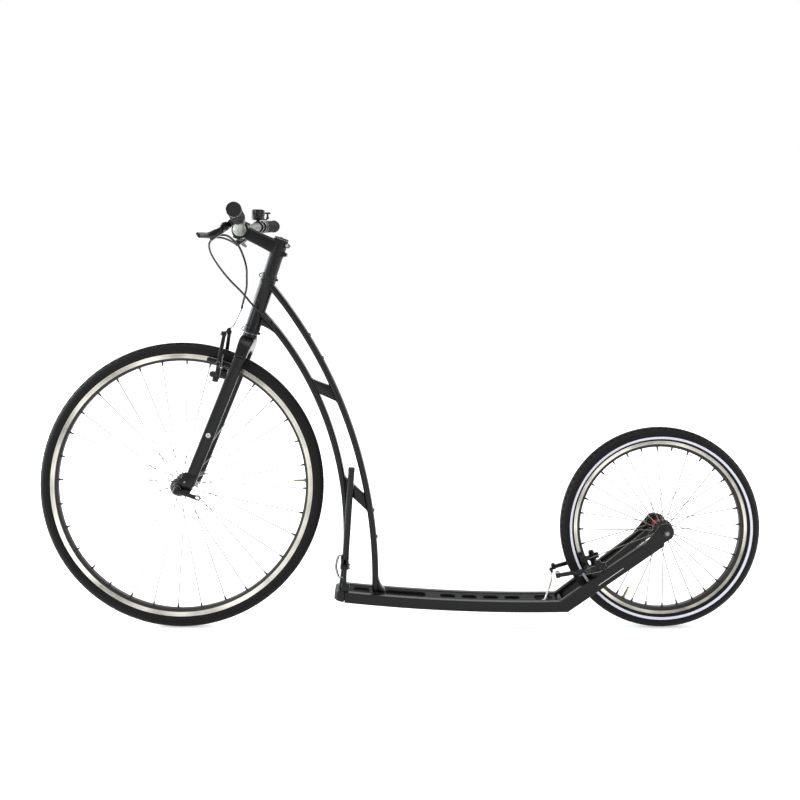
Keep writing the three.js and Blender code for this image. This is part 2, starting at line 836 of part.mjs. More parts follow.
function stayOutline() {
  const endX = rearAxleX - stay.axleClear / 5;
  const lengthLow = (endX - corner.x) / staySide.x;
  const low = corner.clone().addScaledVector(staySide, lengthLow);
  const shoulderZ = rearAxleZ - stay.axleClear;
  const top = corner.clone().addScaledVector(stayNormal, stay.height);
  const shoulder = top.clone().addScaledVector(staySide, (shoulderZ - top.z) / staySide.z);
  return outline([
    [corner.x + gap, corner.z + gap / 2],
    [low.x, low.z],
    [low.x, shoulderZ],
    [shoulder.x, shoulder.z],
    [mitre.x + gap, mitre.z + gap],
  ]);
}

function makeStays() {
  const box = sidePlate(stayOutline(), stay.width, edge, deck.halfWidth - stay.width);
  // The box leans outwards steadily from the mitre to the axle.
  const lean = stay.splay / (rearAxleX - mitre.x);
  const splay = new THREE.Matrix4().set(1, 0, 0, 0, lean, 1, 0, -lean * mitre.x, 0, 0, 1, 0, 0, 0, 0, 1);
  const inner = hub.overLocknuts / 2;
  const plate = sidePlate(axlePlateOutline(), axlePlate.wall, 0, inner, 6);
  const bore = rod(
    vec(rearAxleX, inner - overrun, rearAxleZ),
    vec(rearAxleX, inner + stay.width, rearAxleZ),
    hub.axleRadius + gap,
    12,
    true,
  );
  const body = joined(moved(box, splay), plate).subtract(bore).subtract(hubRoom());
  const brakeFrame = placeOf(brakeFrameRear());
  for (const side of [-1, 1]) {
    const stud = moved(moved(brakeStud(rearBrake.baseLength), sided(-side)), brakeFrame);
    const whole = joined(moved(body, sided(side)), stud);
    bike.add(meshOf(side < 0 ? "left_stay" : "right_stay", whole, satinBlack));
  }
}

// Room for the hub's end between the stays.
function hubRoom() {
  const half = hub.overLocknuts / 2;
  return rod(vec(rearAxleX, -half, rearAxleZ), vec(rearAxleX, half, rearAxleZ), hub.capRadius + edge, 16, true);
}

// The axle plate: a round head about the axle that runs down into the stay.
function axlePlateOutline() {
  const shape = new THREE.Shape();
  const start = stay.slope + Math.PI / 2;
  shape.absarc(rearAxleX, rearAxleZ, axlePlate.headRadius, stay.slope - Math.PI / 2, start, false);
  const foot = vec(rearAxleX, 0, rearAxleZ).addScaledVector(staySide, -axlePlate.footReach);
  shape.lineTo(foot.x, foot.z);
  const low = foot.clone().addScaledVector(stayNormal, -stay.height / 2);
  shape.lineTo(low.x, low.z);
  return shape;
}

function makeStayBridge() {
  const along = vec(mitre.x - corner.x, 0, mitre.z - corner.z).normalize();
  const across = vec(-along.z, 0, along.x).multiplyScalar(-1);
  const low = corner.clone().addScaledVector(along, stayBridge.inset);
  const high = corner.clone().addScaledVector(along, mitre.distanceTo(corner) - stayBridge.inset);
  const points = [low, high, high.clone(), low.clone()];
  points[0].addScaledVector(across, -stayBridge.wall / 2);
  points[1].addScaledVector(across, -stayBridge.wall / 2);
  points[2].addScaledVector(across, stayBridge.wall / 2);
  points[3].addScaledVector(across, stayBridge.wall / 2);
  const width = 2 * (deck.halfWidth - deck.railWidth - gap);
  bike.add(meshOf("stay_bridge", sidePlate(outline(points.map((p) => [p.x, p.z])), width, edge), satinBlack));
}

function makeRearAxle() {
  const outer = hub.overLocknuts / 2 + axlePlate.wall + gap;
  const washer = outer + rearAxle.washerWall;
  const nut = washer + rearAxle.nutHeight;
  const end = nut + rearAxle.tail;
  const axle = rod(vec(0, -end, 0), vec(0, end, 0), hub.axleRadius - gap, 12);
  const ends = [-1, 1].flatMap((side) => [
    rod(vec(0, side * outer, 0), vec(0, side * washer, 0), rearAxle.washerRadius, 10),
    rod(vec(0, side * (washer - gap), 0), vec(0, side * nut, 0), rearAxle.nutRadius, 6),
  ]);
  const mesh = meshOf("rear_axle", joined(axle, ...ends), silver);
  mesh.position.set(rearAxleX, 0, rearAxleZ);
  bike.add(mesh);
}

// Wheels

function tyreProfile(wheel) {
  const radius = wheel.tyreWidth / 2;
  const centre = wheel.tyreRadius - radius;
  const lip = wheel.rimRadius + gap;
  const bedRadius = wheel.rimRadius - rim.bedRadiusDrop / 2 + gap;
  const outerBead = rim.width / 2 - rim.flangeWall - gap;
  const reach = Math.acos((lip - centre) / radius);
  const outer = [];
  const steps = 6;
  for (let i = 0; i <= steps; i += 1) {
    const angle = -reach + (2 * reach * i) / steps;
    outer.push([centre + radius * Math.cos(angle), radius * Math.sin(angle)]);
  }
  const inner = radius - bead.casing;
  const bend = 80 * degree;
  return [
    [bedRadius, -outerBead],
    [lip, -outerBead],
    ...outer,
    [lip, outerBead],
    [bedRadius, outerBead],
    [bedRadius, outerBead - bead.wall],
    [centre + inner * Math.cos(bend), inner * Math.sin(bend)],
    [centre + inner, 0],
    [centre + inner * Math.cos(bend), -inner * Math.sin(bend)],
    [bedRadius, -outerBead + bead.wall],
  ];
}

function rimProfile(wheel) {
  const half = rim.width / 2;
  const bed = wheel.rimRadius - rim.bedRadiusDrop / 2;
  const track = wheel.rimRadius - wheel.trackHeight;
  const inner = wheel.rimRadius - wheel.rimDepth;
  const seat = half - rim.flangeWall;
  return [
    [inner, -half * 0.6],
    [track, -half],
    [wheel.rimRadius, -half],
    [wheel.rimRadius, -seat],
    [bed, -seat],
    [bed, seat],
    [wheel.rimRadius, seat],
    [wheel.rimRadius, half],
    [track, half],
    [inner, half * 0.6],
  ];
}

function hubProfile(wheel) {
  const bore = hub.axleRadius + running;
  const half = hub.overLocknuts / 2 - gap;
  const wall = hub.flangeWall / 2;
  const side = [
    [bore, half],
    [hub.capRadius, half],
    [hub.neckRadius, hub.flangeSpread + 2 * wall],
    [wheel.flangeRadius, hub.flangeSpread + wall],
    [wheel.flangeRadius, hub.flangeSpread - wall],
    [hub.shellRadius, hub.flangeSpread - 3 * wall],
  ];
  return [...side.map(([r, y]) => [r, -y]), ...side.reverse()];
}

// The hub with all its spokes laced in, straight out from the two flanges in turn.
function spokedHub(wheel) {
  const solids = [turned(hubProfile(wheel), hub.segments)];
  const step = turn / spokeCount;
  const rimInner = (wheel.rimRadius - wheel.rimDepth) * Math.cos(Math.PI / wheel.segments) - 2 * gap;
  for (let k = 0; k < spokeCount; k += 1) {
    const side = k % 2 ? 1 : -1;
    const angle = wheel.firstSpoke + k * step;
    const at = (radius, y) => vec(radius * Math.cos(angle), side * y, radius * Math.sin(angle));
    const start = at(hub.spokeCircle, hub.flangeSpread);
    const end = at(rimInner, nipple.offset);
    solids.push(spoke(start, end));
  }
  return joined(...solids);
}

// One spoke with its nipple at the rim.
function spoke(start, end) {
  const along = new THREE.Vector3().subVectors(end, start).normalize();
  const across = new THREE.Vector3().crossVectors(along, vec(0, 1, 0)).normalize();
  const up = new THREE.Vector3().crossVectors(across, along);
  const foot = end.clone().addScaledVector(along, -nipple.length);
  return skinned([
    ringAt(start, across, up, spokeRadius, spokeSides),
    ringAt(foot, across, up, spokeRadius, spokeSides),
    ringAt(foot.clone().addScaledVector(along, nipple.radius / 2), across, up, nipple.radius, spokeSides),
    ringAt(end, across, up, nipple.radius, spokeSides),
  ]);
}

// A valve through the rim at its own angle.
function valveStem(wheel) {
  const inner = (wheel.rimRadius - wheel.rimDepth) * Math.cos(Math.PI / wheel.segments) - gap;
  const tip = inner - valve.length;
  const at = (radius) => vec(radius * Math.cos(wheel.valveAngle), 0, radius * Math.sin(wheel.valveAngle));
  const stemRod = rod(at(inner), at(tip + valve.capLength), valve.radius, 8);
  const capRod = rod(at(tip + valve.capLength + gap), at(tip), valve.capRadius, 8);
  const nut = rod(at(inner), at(inner - valve.radius), valve.radius * 1.7, 6);
  return joined(stemRod, capRod, nut);
}

function makeWheel(prefix, wheel, parent, x, z) {
  const group = new THREE.Group();
  group.position.set(x, 0, z);
  group.rotation.y = -parent.rotation.y;
  parent.add(group);
  const pieces = [
    ["tyre", turned(tyreProfile(wheel), wheel.segments), rubberBlack],
    ["rim", turned(rimProfile(wheel), wheel.segments), rimAlloy],
    ["spoked_hub", spokedHub(wheel), spokeSteel],
    ["valve", valveStem(wheel), brassy],
  ];
  for (const [piece, solid, material] of pieces) group.add(meshOf(prefix + "_" + piece, solid, material));
  return group;
}

// Fork

function bladeX(height) {
  return -(fork.axisCross - height) * Math.tan(fork.bladeSplay);
}

function makeCrown() {
  const outerHalf = fork.bladeSpread + fork.bladeWidth / 2;
  const innerHalf = fork.bladeSpread - fork.bladeWidth / 2;
  const base = fork.bladeTop + gap;
  const shoulder = fork.crownTop - fork.collar;
  const shape = new THREE.Shape();
  shape.moveTo(outerHalf, base);
  shape.quadraticCurveTo(outerHalf, shoulder - fork.collar, fork.crownRadius, shoulder);
  shape.lineTo(-fork.crownRadius, shoulder);
  shape.quadraticCurveTo(-outerHalf, shoulder - fork.collar, -outerHalf, base);
  shape.lineTo(-innerHalf, base);
  shape.quadraticCurveTo(-innerHalf, base + fork.archRise, 0, base + fork.archRise);
  shape.quadraticCurveTo(innerHalf, base + fork.archRise, innerHalf, base);
  const bevel = fork.bladeDepth / 6;
  const geometry = new THREE.ExtrudeGeometry(shape, {
    depth: fork.bladeDepth - 2 * bevel,
    bevelThickness: bevel,
    bevelSize: bevel,
    bevelOffset: -bevel,
    bevelSegments: 1,
    curveSegments: 6,
  });
  geometry.translate(0, 0, bevel - fork.bladeDepth / 2);
  geometry.rotateX(Math.PI / 2);
  geometry.rotateZ(Math.PI / 2);
  const archMade = solidOf(geometry);
  const collar = rod(vec(0, 0, shoulder - fork.collar * 2), vec(0, 0, fork.crownTop), fork.crownRadius, 16);
  const tube = rod(vec(0, 0, shoulder), vec(0, 0, steerer.top), steerer.radius, steerer.sides);
  const bore = rod(vec(0, 0, steerer.floor), vec(0, 0, steerer.top + overrun), steerer.bore, 12);
  const solid = joined(archMade, collar, tube).subtract(bore);
  steering.add(meshOf("fork_crown", solid, satinBlack));
}

// The ring of a blade: an oval with a flat-ish back.
function bladeRing(height) {
  const ring = [];
  const sides = 14;
  for (let k = 0; k < sides; k += 1) {
    const angle = (turn * k) / sides;
    const round = (value) => Math.sign(value) * Math.abs(value) ** 0.75;
    const x = bladeX(height) + round(Math.cos(angle)) * (fork.bladeDepth / 2);
    ring.push(vec(x, fork.bladeSpread + round(Math.sin(angle)) * (fork.bladeWidth / 2), height));
  }
  return ring;
}

function forkEndOutline() {
  const shape = new THREE.Shape();
  const rear = bladeX(fork.bladeBottom) + fork.bladeDepth / 2 - edge;
  const front = bladeX(fork.bladeBottom) - fork.bladeDepth / 2 + edge;
  shape.moveTo(rear, fork.bladeBottom + fork.bladeDepth);
  shape.lineTo(front, fork.bladeBottom + fork.bladeDepth);
  shape.lineTo(-rake - fork.endRadius * 0.7, fork.endRadius * 0.8);
  shape.absarc(-rake, 0, fork.endRadius, Math.PI * 0.72, Math.PI * 1.3, false);
  shape.lineTo(-rake + fork.endRadius * 0.6, -fork.endRadius * 0.9);
  shape.lineTo(rear - fork.endRadius * 0.4, -fork.endDrop);
  shape.lineTo(rear, fork.bladeBottom);
  return shape;
}

function makeBlades() {
  const rings = [fork.bladeBottom, fork.bladeTop].map(bladeRing);
  const blade = skinned(rings);
  const inner = hub.overLocknuts / 2;
  const end = sidePlate(forkEndOutline(), fork.endPlate, 0, inner, 4);
  const slotDepth = fork.endRadius + overrun;
  const slot = roundedBox(2 * (hub.axleRadius + gap), 2 * slotDepth, hub.axleRadius);
  const cut = sidePlate(slot, fork.endPlate + 2 * overrun, 0, inner - overrun);
  const slotGroup = new THREE.Group();
  slotGroup.position.set(-rake, 0, hub.axleRadius + gap - slotDepth);
  const body = joined(blade, end).subtract(moved(cut, placeOf(slotGroup)));
  const brakeFrame = placeOf(brakeFrameFront());
  for (const side of [-1, 1]) {
    const stud = moved(moved(brakeStud(frontBrake.baseLength), sided(side)), brakeFrame);
    const whole = joined(moved(body, sided(side)), stud);
    steering.add(meshOf(side < 0 ? "left_fork_blade" : "right_fork_blade", whole, satinBlack));
  }
}

function makeSkewer() {
  const outer = hub.overLocknuts / 2 + fork.endPlate + gap;
  const half = hub.overLocknuts / 2;
  const axle = rod(vec(0, -half, 0), vec(0, half, 0), hub.axleRadius - gap, 10);
  const end = outer + skewer.nutLength;
  const through = rod(vec(0, -outer - skewer.housingLength, 0), vec(0, end, 0), skewer.rodRadius, 8);
  const nut = rod(vec(0, outer, 0), vec(0, end, 0), skewer.seatRadius, 10);
  const housing = rod(vec(0, -outer - skewer.housingLength, 0), vec(0, -outer, 0), skewer.seatRadius, 12);
  const mesh = meshOf("front_skewer", joined(axle, through, nut, housing), brakeBlack);
  mesh.position.x = -rake;
  steering.add(mesh);
}

function makeQuickRelease() {
  const outer = hub.overLocknuts / 2 + fork.endPlate + 2 * gap + skewer.housingLength;
  const cam = rod(vec(0, 0, -quickRelease.camHeight / 2), vec(0, 0, quickRelease.camHeight / 2), quickRelease.camRadius, 12);
  const shape = new THREE.Shape();
  const { length, thickness, bow, camRadius } = quickRelease;
  shape.moveTo(0, -thickness / 2);
  shape.quadraticCurveTo(length / 2, -thickness / 2 - bow, length, -thickness / 2);
  shape.lineTo(length, thickness / 2);
  shape.quadraticCurveTo(length / 2, thickness / 2 - bow, 0, thickness / 2);
  const geometry = new THREE.ExtrudeGeometry(shape, { depth: quickRelease.width, bevelEnabled: false, curveSegments: 6 });
  geometry.translate(0, 0, -quickRelease.width / 2);
  const eye = rod(
    vec(length - quickRelease.eyeRadius * 2.5, -length / 4, 0),
    vec(length - quickRelease.eyeRadius * 2.5, length / 4, 0),
    quickRelease.eyeRadius,
    8,
  );
  const mesh = meshOf("quick_release_lever", joined(cam, solidOf(geometry)).subtract(eye), brakeBlack);
  mesh.position.set(-rake, -outer - camRadius, 0);
  steering.add(mesh);
}

// Spacers, stem and bar

const stackBottom = headTube.top + gap + cup.upperHeight + running;
const stemBottom = stackBottom + spacer.lowerHeight + gap + spacer.upperHeight + gap;
const stemMiddle = stemBottom + stem.clampHeight / 2;
steerer.top = stemBottom + stem.clampHeight - steerer.recess;
const barCentre = vec(-stem.reach * Math.cos(stem.rise), 0, stemMiddle + stem.reach * Math.sin(stem.rise));

function makeSpacer(name, bottom, height) {
  const bore = steerer.radius + gap;
  const ring = turned(
    [
      [bore, bottom],
      [spacer.radius, bottom],
      [spacer.radius, bottom + height],
      [bore, bottom + height],
    ],
    20,
  );
  steering.add(upright(meshOf(name, ring, satinBlack)));
}

function barClampRing(outer) {
  const half = stem.barClampWidth / 2;
  return rod(vec(barCentre.x, -half, barCentre.z), vec(barCentre.x, half, barCentre.z), outer, 18);
}

function barClampBore() {
  const half = stem.barClampWidth;
  const from = vec(barCentre.x, -half, barCentre.z);
  return rod(from, vec(barCentre.x, half, barCentre.z), bar.clampRadius + gap, 18, true);
}

// A block that covers everything ahead of the plane where the faceplate parts from the stem.
function clampHalf(ahead) {
  const size = stem.reach;
  const geometry = new THREE.BoxGeometry(size, size, size);
  geometry.translate(((ahead ? -1 : 1) * (size - gap)) / 2, 0, 0);
  geometry.rotateY(stem.rise);
  geometry.translate(barCentre.x, 0, barCentre.z);
  return solidOf(geometry);
}

function makeStem() {
  const bottom = stemBottom;
  const top = stemBottom + stem.clampHeight;
  const clamp = turned(
    [
      [0, bottom],
      [stem.clampRadius - edge, bottom],
      [stem.clampRadius, bottom + edge],
      [stem.clampRadius, top - edge],
      [stem.clampRadius - edge, top],
      [0, top],
    ],
    16,
    false,
  );
  const stood = new THREE.Group();
  stood.rotation.x = Math.PI / 2;
  const rear = stem.bodyHeightRear / 2;
  const front = stem.bodyHeightFront / 2;
  const body = sidePlate(
    outline([
      [0, stemMiddle - rear],
      [0, stemMiddle + rear],
      [barCentre.x, barCentre.z + front],
      [barCentre.x, barCentre.z - front],
    ]),
    stem.bodyWidth,
    stem.bodyWidth / 6,
  );
  const bolts = [-1, 1].map((side) => {
    const z = stemMiddle + (side * stem.boltSpacing) / 2;
    const half = stem.boltLength / 2;
    return rod(vec(stem.boltSetback, -half, z), vec(stem.boltSetback, half, z), stem.boltRadius, 8);
  });
  const bore = rod(
    vec(0, 0, bottom - overrun),
    vec(0, 0, top + overrun),
    steerer.radius + gap,
    steerer.sides,
    true,
  );
  const ring = barClampRing(bar.clampRadius + stem.barClampWall);
  const whole = joined(moved(clamp, placeOf(stood)), body, ring, ...bolts);
  const solid = whole.subtract(bore).subtract(barClampBore()).subtract(clampHalf(true));
  steering.add(meshOf("stem", solid, stemBlack));
  const plate = ring.subtract(barClampBore()).subtract(clampHalf(false));
  steering.add(meshOf("stem_faceplate", plate, stemBlack));
}

function makeCap() {
  const bottom = stemBottom + stem.clampHeight + gap;
  const solid = turned(
    [
      [0, bottom],
      [cap.radius, bottom],
      [cap.radius, bottom + cap.height / 2],
      [cap.radius - edge, bottom + cap.height],
      [cap.boltRadius, bottom + cap.height],
      [cap.boltRadius, bottom + cap.height + cap.boltHeight],
      [0, bottom + cap.height + cap.boltHeight],
    ],
    16,
    false,
  );
  steering.add(upright(meshOf("stem_cap", solid, stemBlack)));
}

// The bar's middle line at a distance from the middle: level, then a smooth bend, then straight.
function barPoint(y) {
  const away = Math.abs(y);
  const share = THREE.MathUtils.smoothstep(away, bar.bendStart, bar.bendEnd);
  const over = Math.max(0, away - bar.bendEnd);
  const back = bar.setback * share + over * Math.tan(bar.sweep);
  return vec(barCentre.x + back, y, barCentre.z + bar.rise * share + over * Math.tan(bar.upsweep));
}

function barTangent(y) {
  return new THREE.Vector3().subVectors(barPoint(y + 1), barPoint(y - 1)).normalize();
}

function barRadiusAt(y) {
  const share = THREE.MathUtils.smoothstep(Math.abs(y), bar.flat, bar.taperEnd);
  return THREE.MathUtils.lerp(bar.clampRadius, bar.radius, share);
}

// Rings stand close together only where the bar bends.
function barSolid() {
  const shares = [0.16, 0.35, 0.5, 0.65, 0.82];
  const bent = bar.bendEnd - bar.bendStart;
  const half = [bar.bendStart, ...shares.map((share) => bar.bendStart + share * bent), bar.bendEnd, bar.halfWidth];
  const stations = [...half.map((y) => -y).reverse(), ...half];
  const rings = stations.map((y) => {
    const tangent = barTangent(y);
    const across = new THREE.Vector3().crossVectors(tangent, vec(0, 0, 1)).normalize();
    const up = new THREE.Vector3().crossVectors(across, tangent);
    return ringAt(barPoint(y), across, up, barRadiusAt(y), bar.sides);
  });
  return skinned(rings);
}

// The frame of one bar end: Y runs outwards along the bar from the last bend.
const barEndWay = vec(Math.tan(bar.sweep), 1, Math.tan(bar.upsweep));

function barEndGroup(side) {
  const mirror = new THREE.Group();
  mirror.scale.y = side;
  const group = new THREE.Group();
  group.position.set(barCentre.x + bar.setback, bar.bendEnd, barCentre.z + bar.rise);
  group.quaternion.setFromUnitVectors(vec(0, 1, 0), barEndWay.clone().normalize());
  mirror.add(group);
  steering.add(mirror);
  return group;
}

function alongBar(place) {
  return (place - bar.bendEnd) * barEndWay.length();
}

// A plain round grip, closed at its outer end by a cap with a low rim.
function gripSolid() {
  const start = alongBar(grip.start);
  const end = alongBar(grip.end);
  const body = grip.bodyRadius;
  const neck = end - grip.capWidth;
  const shell = turned(
    [
      [0, start],
      [body - edge, start],
      [body, start + 2 * edge],
      [body, neck - edge],
      [grip.capRadius, neck + edge],
      [grip.capRadius, end - edge],
      [grip.capRadius - edge, end],
      [0, end],
    ],
    16,
    false,
  );
  const bore = rod(
    vec(0, start - overrun, 0),
    vec(0, end - grip.endWall, 0),
    bar.radius + gap,
    bar.sides,
    true,
  );
  return shell.subtract(bore);
}

function leverFrame() {
  const group = new THREE.Group();
  group.position.y = alongBar(perch.place);
  group.rotation.y = Math.PI - (lever.drop + headTilt);
  return group;
}

// The bracket that holds a brake lever: ring on the bar, jaws with their pin, and an arm that
// carries the cable's barrel well ahead of the pivot.
function perchSolid() {
  const half = perch.ringWidth / 2;
  const { pivotReach, pivotOut, jawRadius, jawHeight, armReach, armDepth, barrelIn } = perch;
  const ring = rod(vec(0, -half, 0), vec(0, half, 0), perch.ringRadius, 16);
  const start = perch.ringRadius * 0.7;
  const shape = new THREE.Shape();
  shape.moveTo(start, half);
  shape.lineTo(start, -half);
  shape.lineTo(pivotReach, -half * 2);
  shape.lineTo(armReach - armDepth, barrelIn);
  shape.lineTo(armReach, barrelIn);
  shape.lineTo(armReach, barrelIn + armDepth * 0.7);
  shape.lineTo(armReach - armDepth, barrelIn + armDepth);
  shape.lineTo(pivotReach + jawRadius * 1.2, perch.slotFloor - edge);
  shape.absarc(pivotReach, pivotOut, jawRadius, -Math.PI / 6, Math.PI / 2, false);
  const geometry = new THREE.ExtrudeGeometry(shape, {
    depth: jawHeight - 2 * edge,
    bevelThickness: edge,
    bevelSize: edge,
    bevelOffset: -edge,
    bevelSegments: 1,
    curveSegments: 3,
  });
  geometry.translate(0, 0, edge - jawHeight / 2);
  const slot = new THREE.BoxGeometry(armReach, armReach, perch.slot);
  slot.translate(pivotReach - jawRadius + armReach / 2, perch.slotFloor + armReach / 2, 0);
  const pin = rod(vec(pivotReach, pivotOut, -jawHeight / 2), vec(pivotReach, pivotOut, jawHeight / 2), perch.pinRadius, 8);
  const barrelEnd = barrelIn - perch.barrelLength;
  const barrel = rod(
    vec(perch.barrelReach, barrelIn + edge, 0),
    vec(perch.barrelReach, barrelEnd, 0),
    perch.barrelRadius,
    10,
  );
  const bore = rod(vec(0, -half - overrun, 0), vec(0, half + overrun, 0), bar.radius + gap, bar.sides, true);
  return joined(ring, solidOf(geometry).subtract(solidOf(slot)), pin, barrel).subtract(bore);
}

// The lever blade: a bowed strip with a thin tongue on the pivot and a rounded end.
function leverSolid() {
  const pivot = vec(perch.pivotReach, perch.pivotOut, 0);
  const tip = vec(lever.reach, lever.length, 0);
  const reach = lever.reach - perch.pivotReach;
  const curve = new THREE.CatmullRomCurve3([
    pivot,
    vec(perch.pivotReach + reach * 0.26, lever.length * 0.07, 0),
    vec(perch.pivotReach + reach * 0.55, lever.length * 0.13, 0),
    vec(perch.pivotReach + reach * 0.72, lever.length * 0.28, 0),
    vec(perch.pivotReach + reach * 0.84, lever.length * 0.58, 0),
    tip,
  ]);
  const strip = (from, to, height, bevel, steps) => {
    const sides = [[], []];
    for (let i = 0; i <= steps; i += 1) {
      const t = from + ((to - from) * i) / steps;
      const at = curve.getPoint(t);
      const way = curve.getTangent(t);
      sides[0].push([at.x + (way.y * lever.thickness) / 2, at.y - (way.x * lever.thickness) / 2]);
      sides[1].unshift([at.x - (way.y * lever.thickness) / 2, at.y + (way.x * lever.thickness) / 2]);
    }
    const geometry = new THREE.ExtrudeGeometry(outline([...sides[0], ...sides[1]]), {
      depth: height - 2 * bevel,
      bevelEnabled: bevel > 0,
      bevelThickness: bevel,
      bevelSize: bevel,
      bevelOffset: -bevel,
      bevelSegments: 1,
    });
    geometry.translate(0, 0, bevel - height / 2);
    return solidOf(geometry);
  };
  const post = (at, height, radius, sides, outside) =>
    rod(at.clone().setZ(-height / 2), at.clone().setZ(height / 2), radius, sides, outside);
  const blade = strip(0.26, 1, lever.height, lever.thickness / 5, 7);
  const tongue = strip(0, 0.4, lever.tongue, 0, 3);
  const knuckle = post(pivot, lever.tongue, lever.thickness * 0.75, 12);
  const end = post(tip, lever.height, lever.endRadius, 10);
  const bore = post(pivot, lever.height * 2, perch.pinRadius + gap, 8, true);
  return joined(blade, tongue, knuckle, end).subtract(bore);
}

function makeBarEnds() {
  const gripMade = gripSolid();
  const perchMade = perchSolid();
  const leverMade = leverSolid();
  for (const side of [-1, 1]) {
    const name = side < 0 ? "left" : "right";
    const group = barEndGroup(side);
    const frame = leverFrame();
    frame.name = name + "_lever_frame";
    group.add(meshOf(name + "_grip", gripMade, gripBlack), frame);
    frame.add(meshOf(name + "_lever_perch", perchMade, brakeBlack));
    frame.add(meshOf(name + "_brake_lever", leverMade, brakeBlack));
  }
}

// Bell on the right bend of the bar

const bellSpot = { point: barPoint(bell.place), tangent: barTangent(bell.place) };
// Straight up in the bike's frame, written in the column's frame
const worldUp = vec(-Math.sin(headTilt), 0, Math.cos(headTilt));
const worldBack = vec(Math.cos(headTilt), 0, Math.sin(headTilt));
const strikerFoot = bellSpot.point
  .clone()
  .addScaledVector(worldUp, bell.lift - striker.footLift / 2)
  .addScaledVector(worldBack, bell.armReach * 0.72)
  .add(vec(0, bell.armReach * 0.72, 0));

function makeBell() {
  const { point, tangent } = bellSpot;
  const half = tangent.clone().multiplyScalar(bell.ringWidth / 2);
  const ringOuter = barRadiusAt(bell.place) + running + gap + bell.ringWall;
  const ring = rod(point.clone().sub(half), point.clone().add(half), ringOuter, 14);
  const base = point.clone().addScaledVector(worldUp, bell.lift);
  const stalk = rod(point.clone().addScaledVector(worldUp, ringOuter - edge), base.clone().addScaledVector(worldUp, edge), bell.stalkRadius, 10);
  const dome = turned(
    [
      [0, 0],
      [bell.radius, 0],
      [bell.radius, bell.height - bell.crown],
      [bell.radius - bell.crown, bell.height],
      [0, bell.height],
    ],
    20,
    false,
  );
  const stood = new THREE.Group();
  stood.position.copy(base);
  stood.setRotationFromQuaternion(new THREE.Quaternion().setFromUnitVectors(vec(0, 1, 0), worldUp));
  const foot = strikerFoot.clone().addScaledVector(worldUp, -striker.footLift / 2);
  const arm = rod(base.clone().addScaledVector(worldUp, -striker.footLift / 2), foot, bell.armRadius, 8);
  const armBase = rod(base.clone().addScaledVector(worldUp, -striker.footLift), base.clone().addScaledVector(worldUp, edge), bell.stalkRadius * 1.4, 10);
  const along = tangent.clone().multiplyScalar(bell.ringWidth);
  const boreRadius = barRadiusAt(bell.place) + running + gap;
  const bore = rod(point.clone().sub(along), point.clone().add(along), boreRadius, 14, true);
  const solid = joined(ring, stalk, moved(dome, placeOf(stood)), arm, armBase).subtract(bore);
  steering.add(meshOf("bell", solid, brakeBlack));
}

function makeStriker() {
  const foot = strikerFoot.clone().addScaledVector(worldUp, bell.armRadius - striker.footLift / 2 + gap);
  const top = foot.clone().addScaledVector(worldUp, striker.height);
  const post = rod(foot, top, striker.radius, 8);
  const headFrom = top.clone().addScaledVector(worldBack, -striker.headLength * 0.35);
  const headTo = top.clone().addScaledVector(worldBack, striker.headLength * 0.65);
  const head3 = rod(headFrom, headTo, striker.headRadius, 8);
  steering.add(meshOf("bell_striker", joined(post, head3), brakeBlack));
}

// Brake arms and pads

// The brake frame's own view of the pad: its place along the arm.
function padAlongArm(centre, radius, pivot, lean) {
  const arm = new THREE.Vector2(Math.sin(lean), Math.cos(lean));
  const from = pivot.clone().sub(centre);
  const along = from.dot(arm);
  return -along + Math.sqrt(along ** 2 - (from.lengthSq() - radius ** 2));
}

function armSolid(padZ) {
  const centre = new THREE.CatmullRomCurve3([
    vec(0, brake.studSpread, 0),
    vec(0, brake.armBow - edge, brake.armTop * 0.16),
    vec(0, brake.armBow, brake.armTop * 0.34),
    vec(0, (brake.armBow + brake.armTopSpread) / 2, brake.armTop * 0.7),
    vec(0, brake.armTopSpread, brake.armTop),
  ]);
  const [left, right] = [[], []];
  const steps = 5;
  for (let i = 0; i <= steps; i += 1) {
    const at = centre.getPoint(i / steps);
    const way = centre.getTangent(i / steps);
    const width = THREE.MathUtils.lerp(brake.armWidth, brake.armTopWidth, i / steps) / 2;
    left.push([at.y + way.z * width, at.z - way.y * width]);
    right.unshift([at.y - way.z * width, at.z + way.y * width]);
  }
  const geometry = new THREE.ExtrudeGeometry(outline([...left, ...right]), {
    depth: brake.armDepth,
    bevelEnabled: false,
  });
  geometry.translate(0, 0, -brake.armDepth / 2);
  const basis = new THREE.Matrix4().makeBasis(vec(0, 1, 0), vec(0, 0, 1), vec(1, 0, 0));
  geometry.applyMatrix4(basis);
  geometry.translate((brake.eyeFront + brake.eyeBack) / 2, 0, 0);
  const eye = rod(
    vec(brake.eyeFront, brake.studSpread, 0),
    vec(brake.eyeBack, brake.studSpread, 0),
    brake.eyeRadius,
    10,
  );
  const topBoss = rod(
    vec(brake.eyeFront, brake.armTopSpread, brake.armTop),
    vec(brake.eyeBack - edge, brake.armTopSpread, brake.armTop),
    brake.armTopWidth * 0.7,
    8,
  );
  const bore = rod(
    vec(brake.eyeFront - overrun, brake.studSpread, 0),
    vec(brake.eyeBack + overrun, brake.studSpread, 0),
    brake.studRadius + gap,
    10,
    true,
  );
  const middle = (brake.eyeFront + brake.eyeBack) / 2;
  const post = rod(
    vec(middle, brake.studSpread - brake.armWidth, padZ),
    vec(middle, brake.studSpread + brake.armWidth * 2, padZ),
    brake.postRadius + gap,
    8,
    true,
  );
  return joined(eye, solidOf(geometry), topBoss).subtract(bore).subtract(post);
}

// The pad's middle lies a little below the middle of the brake track, clear of the tyre.
function padTrack(wheel) {
  return wheel.rimRadius - wheel.trackHeight / 2 - brake.padDrop;
}

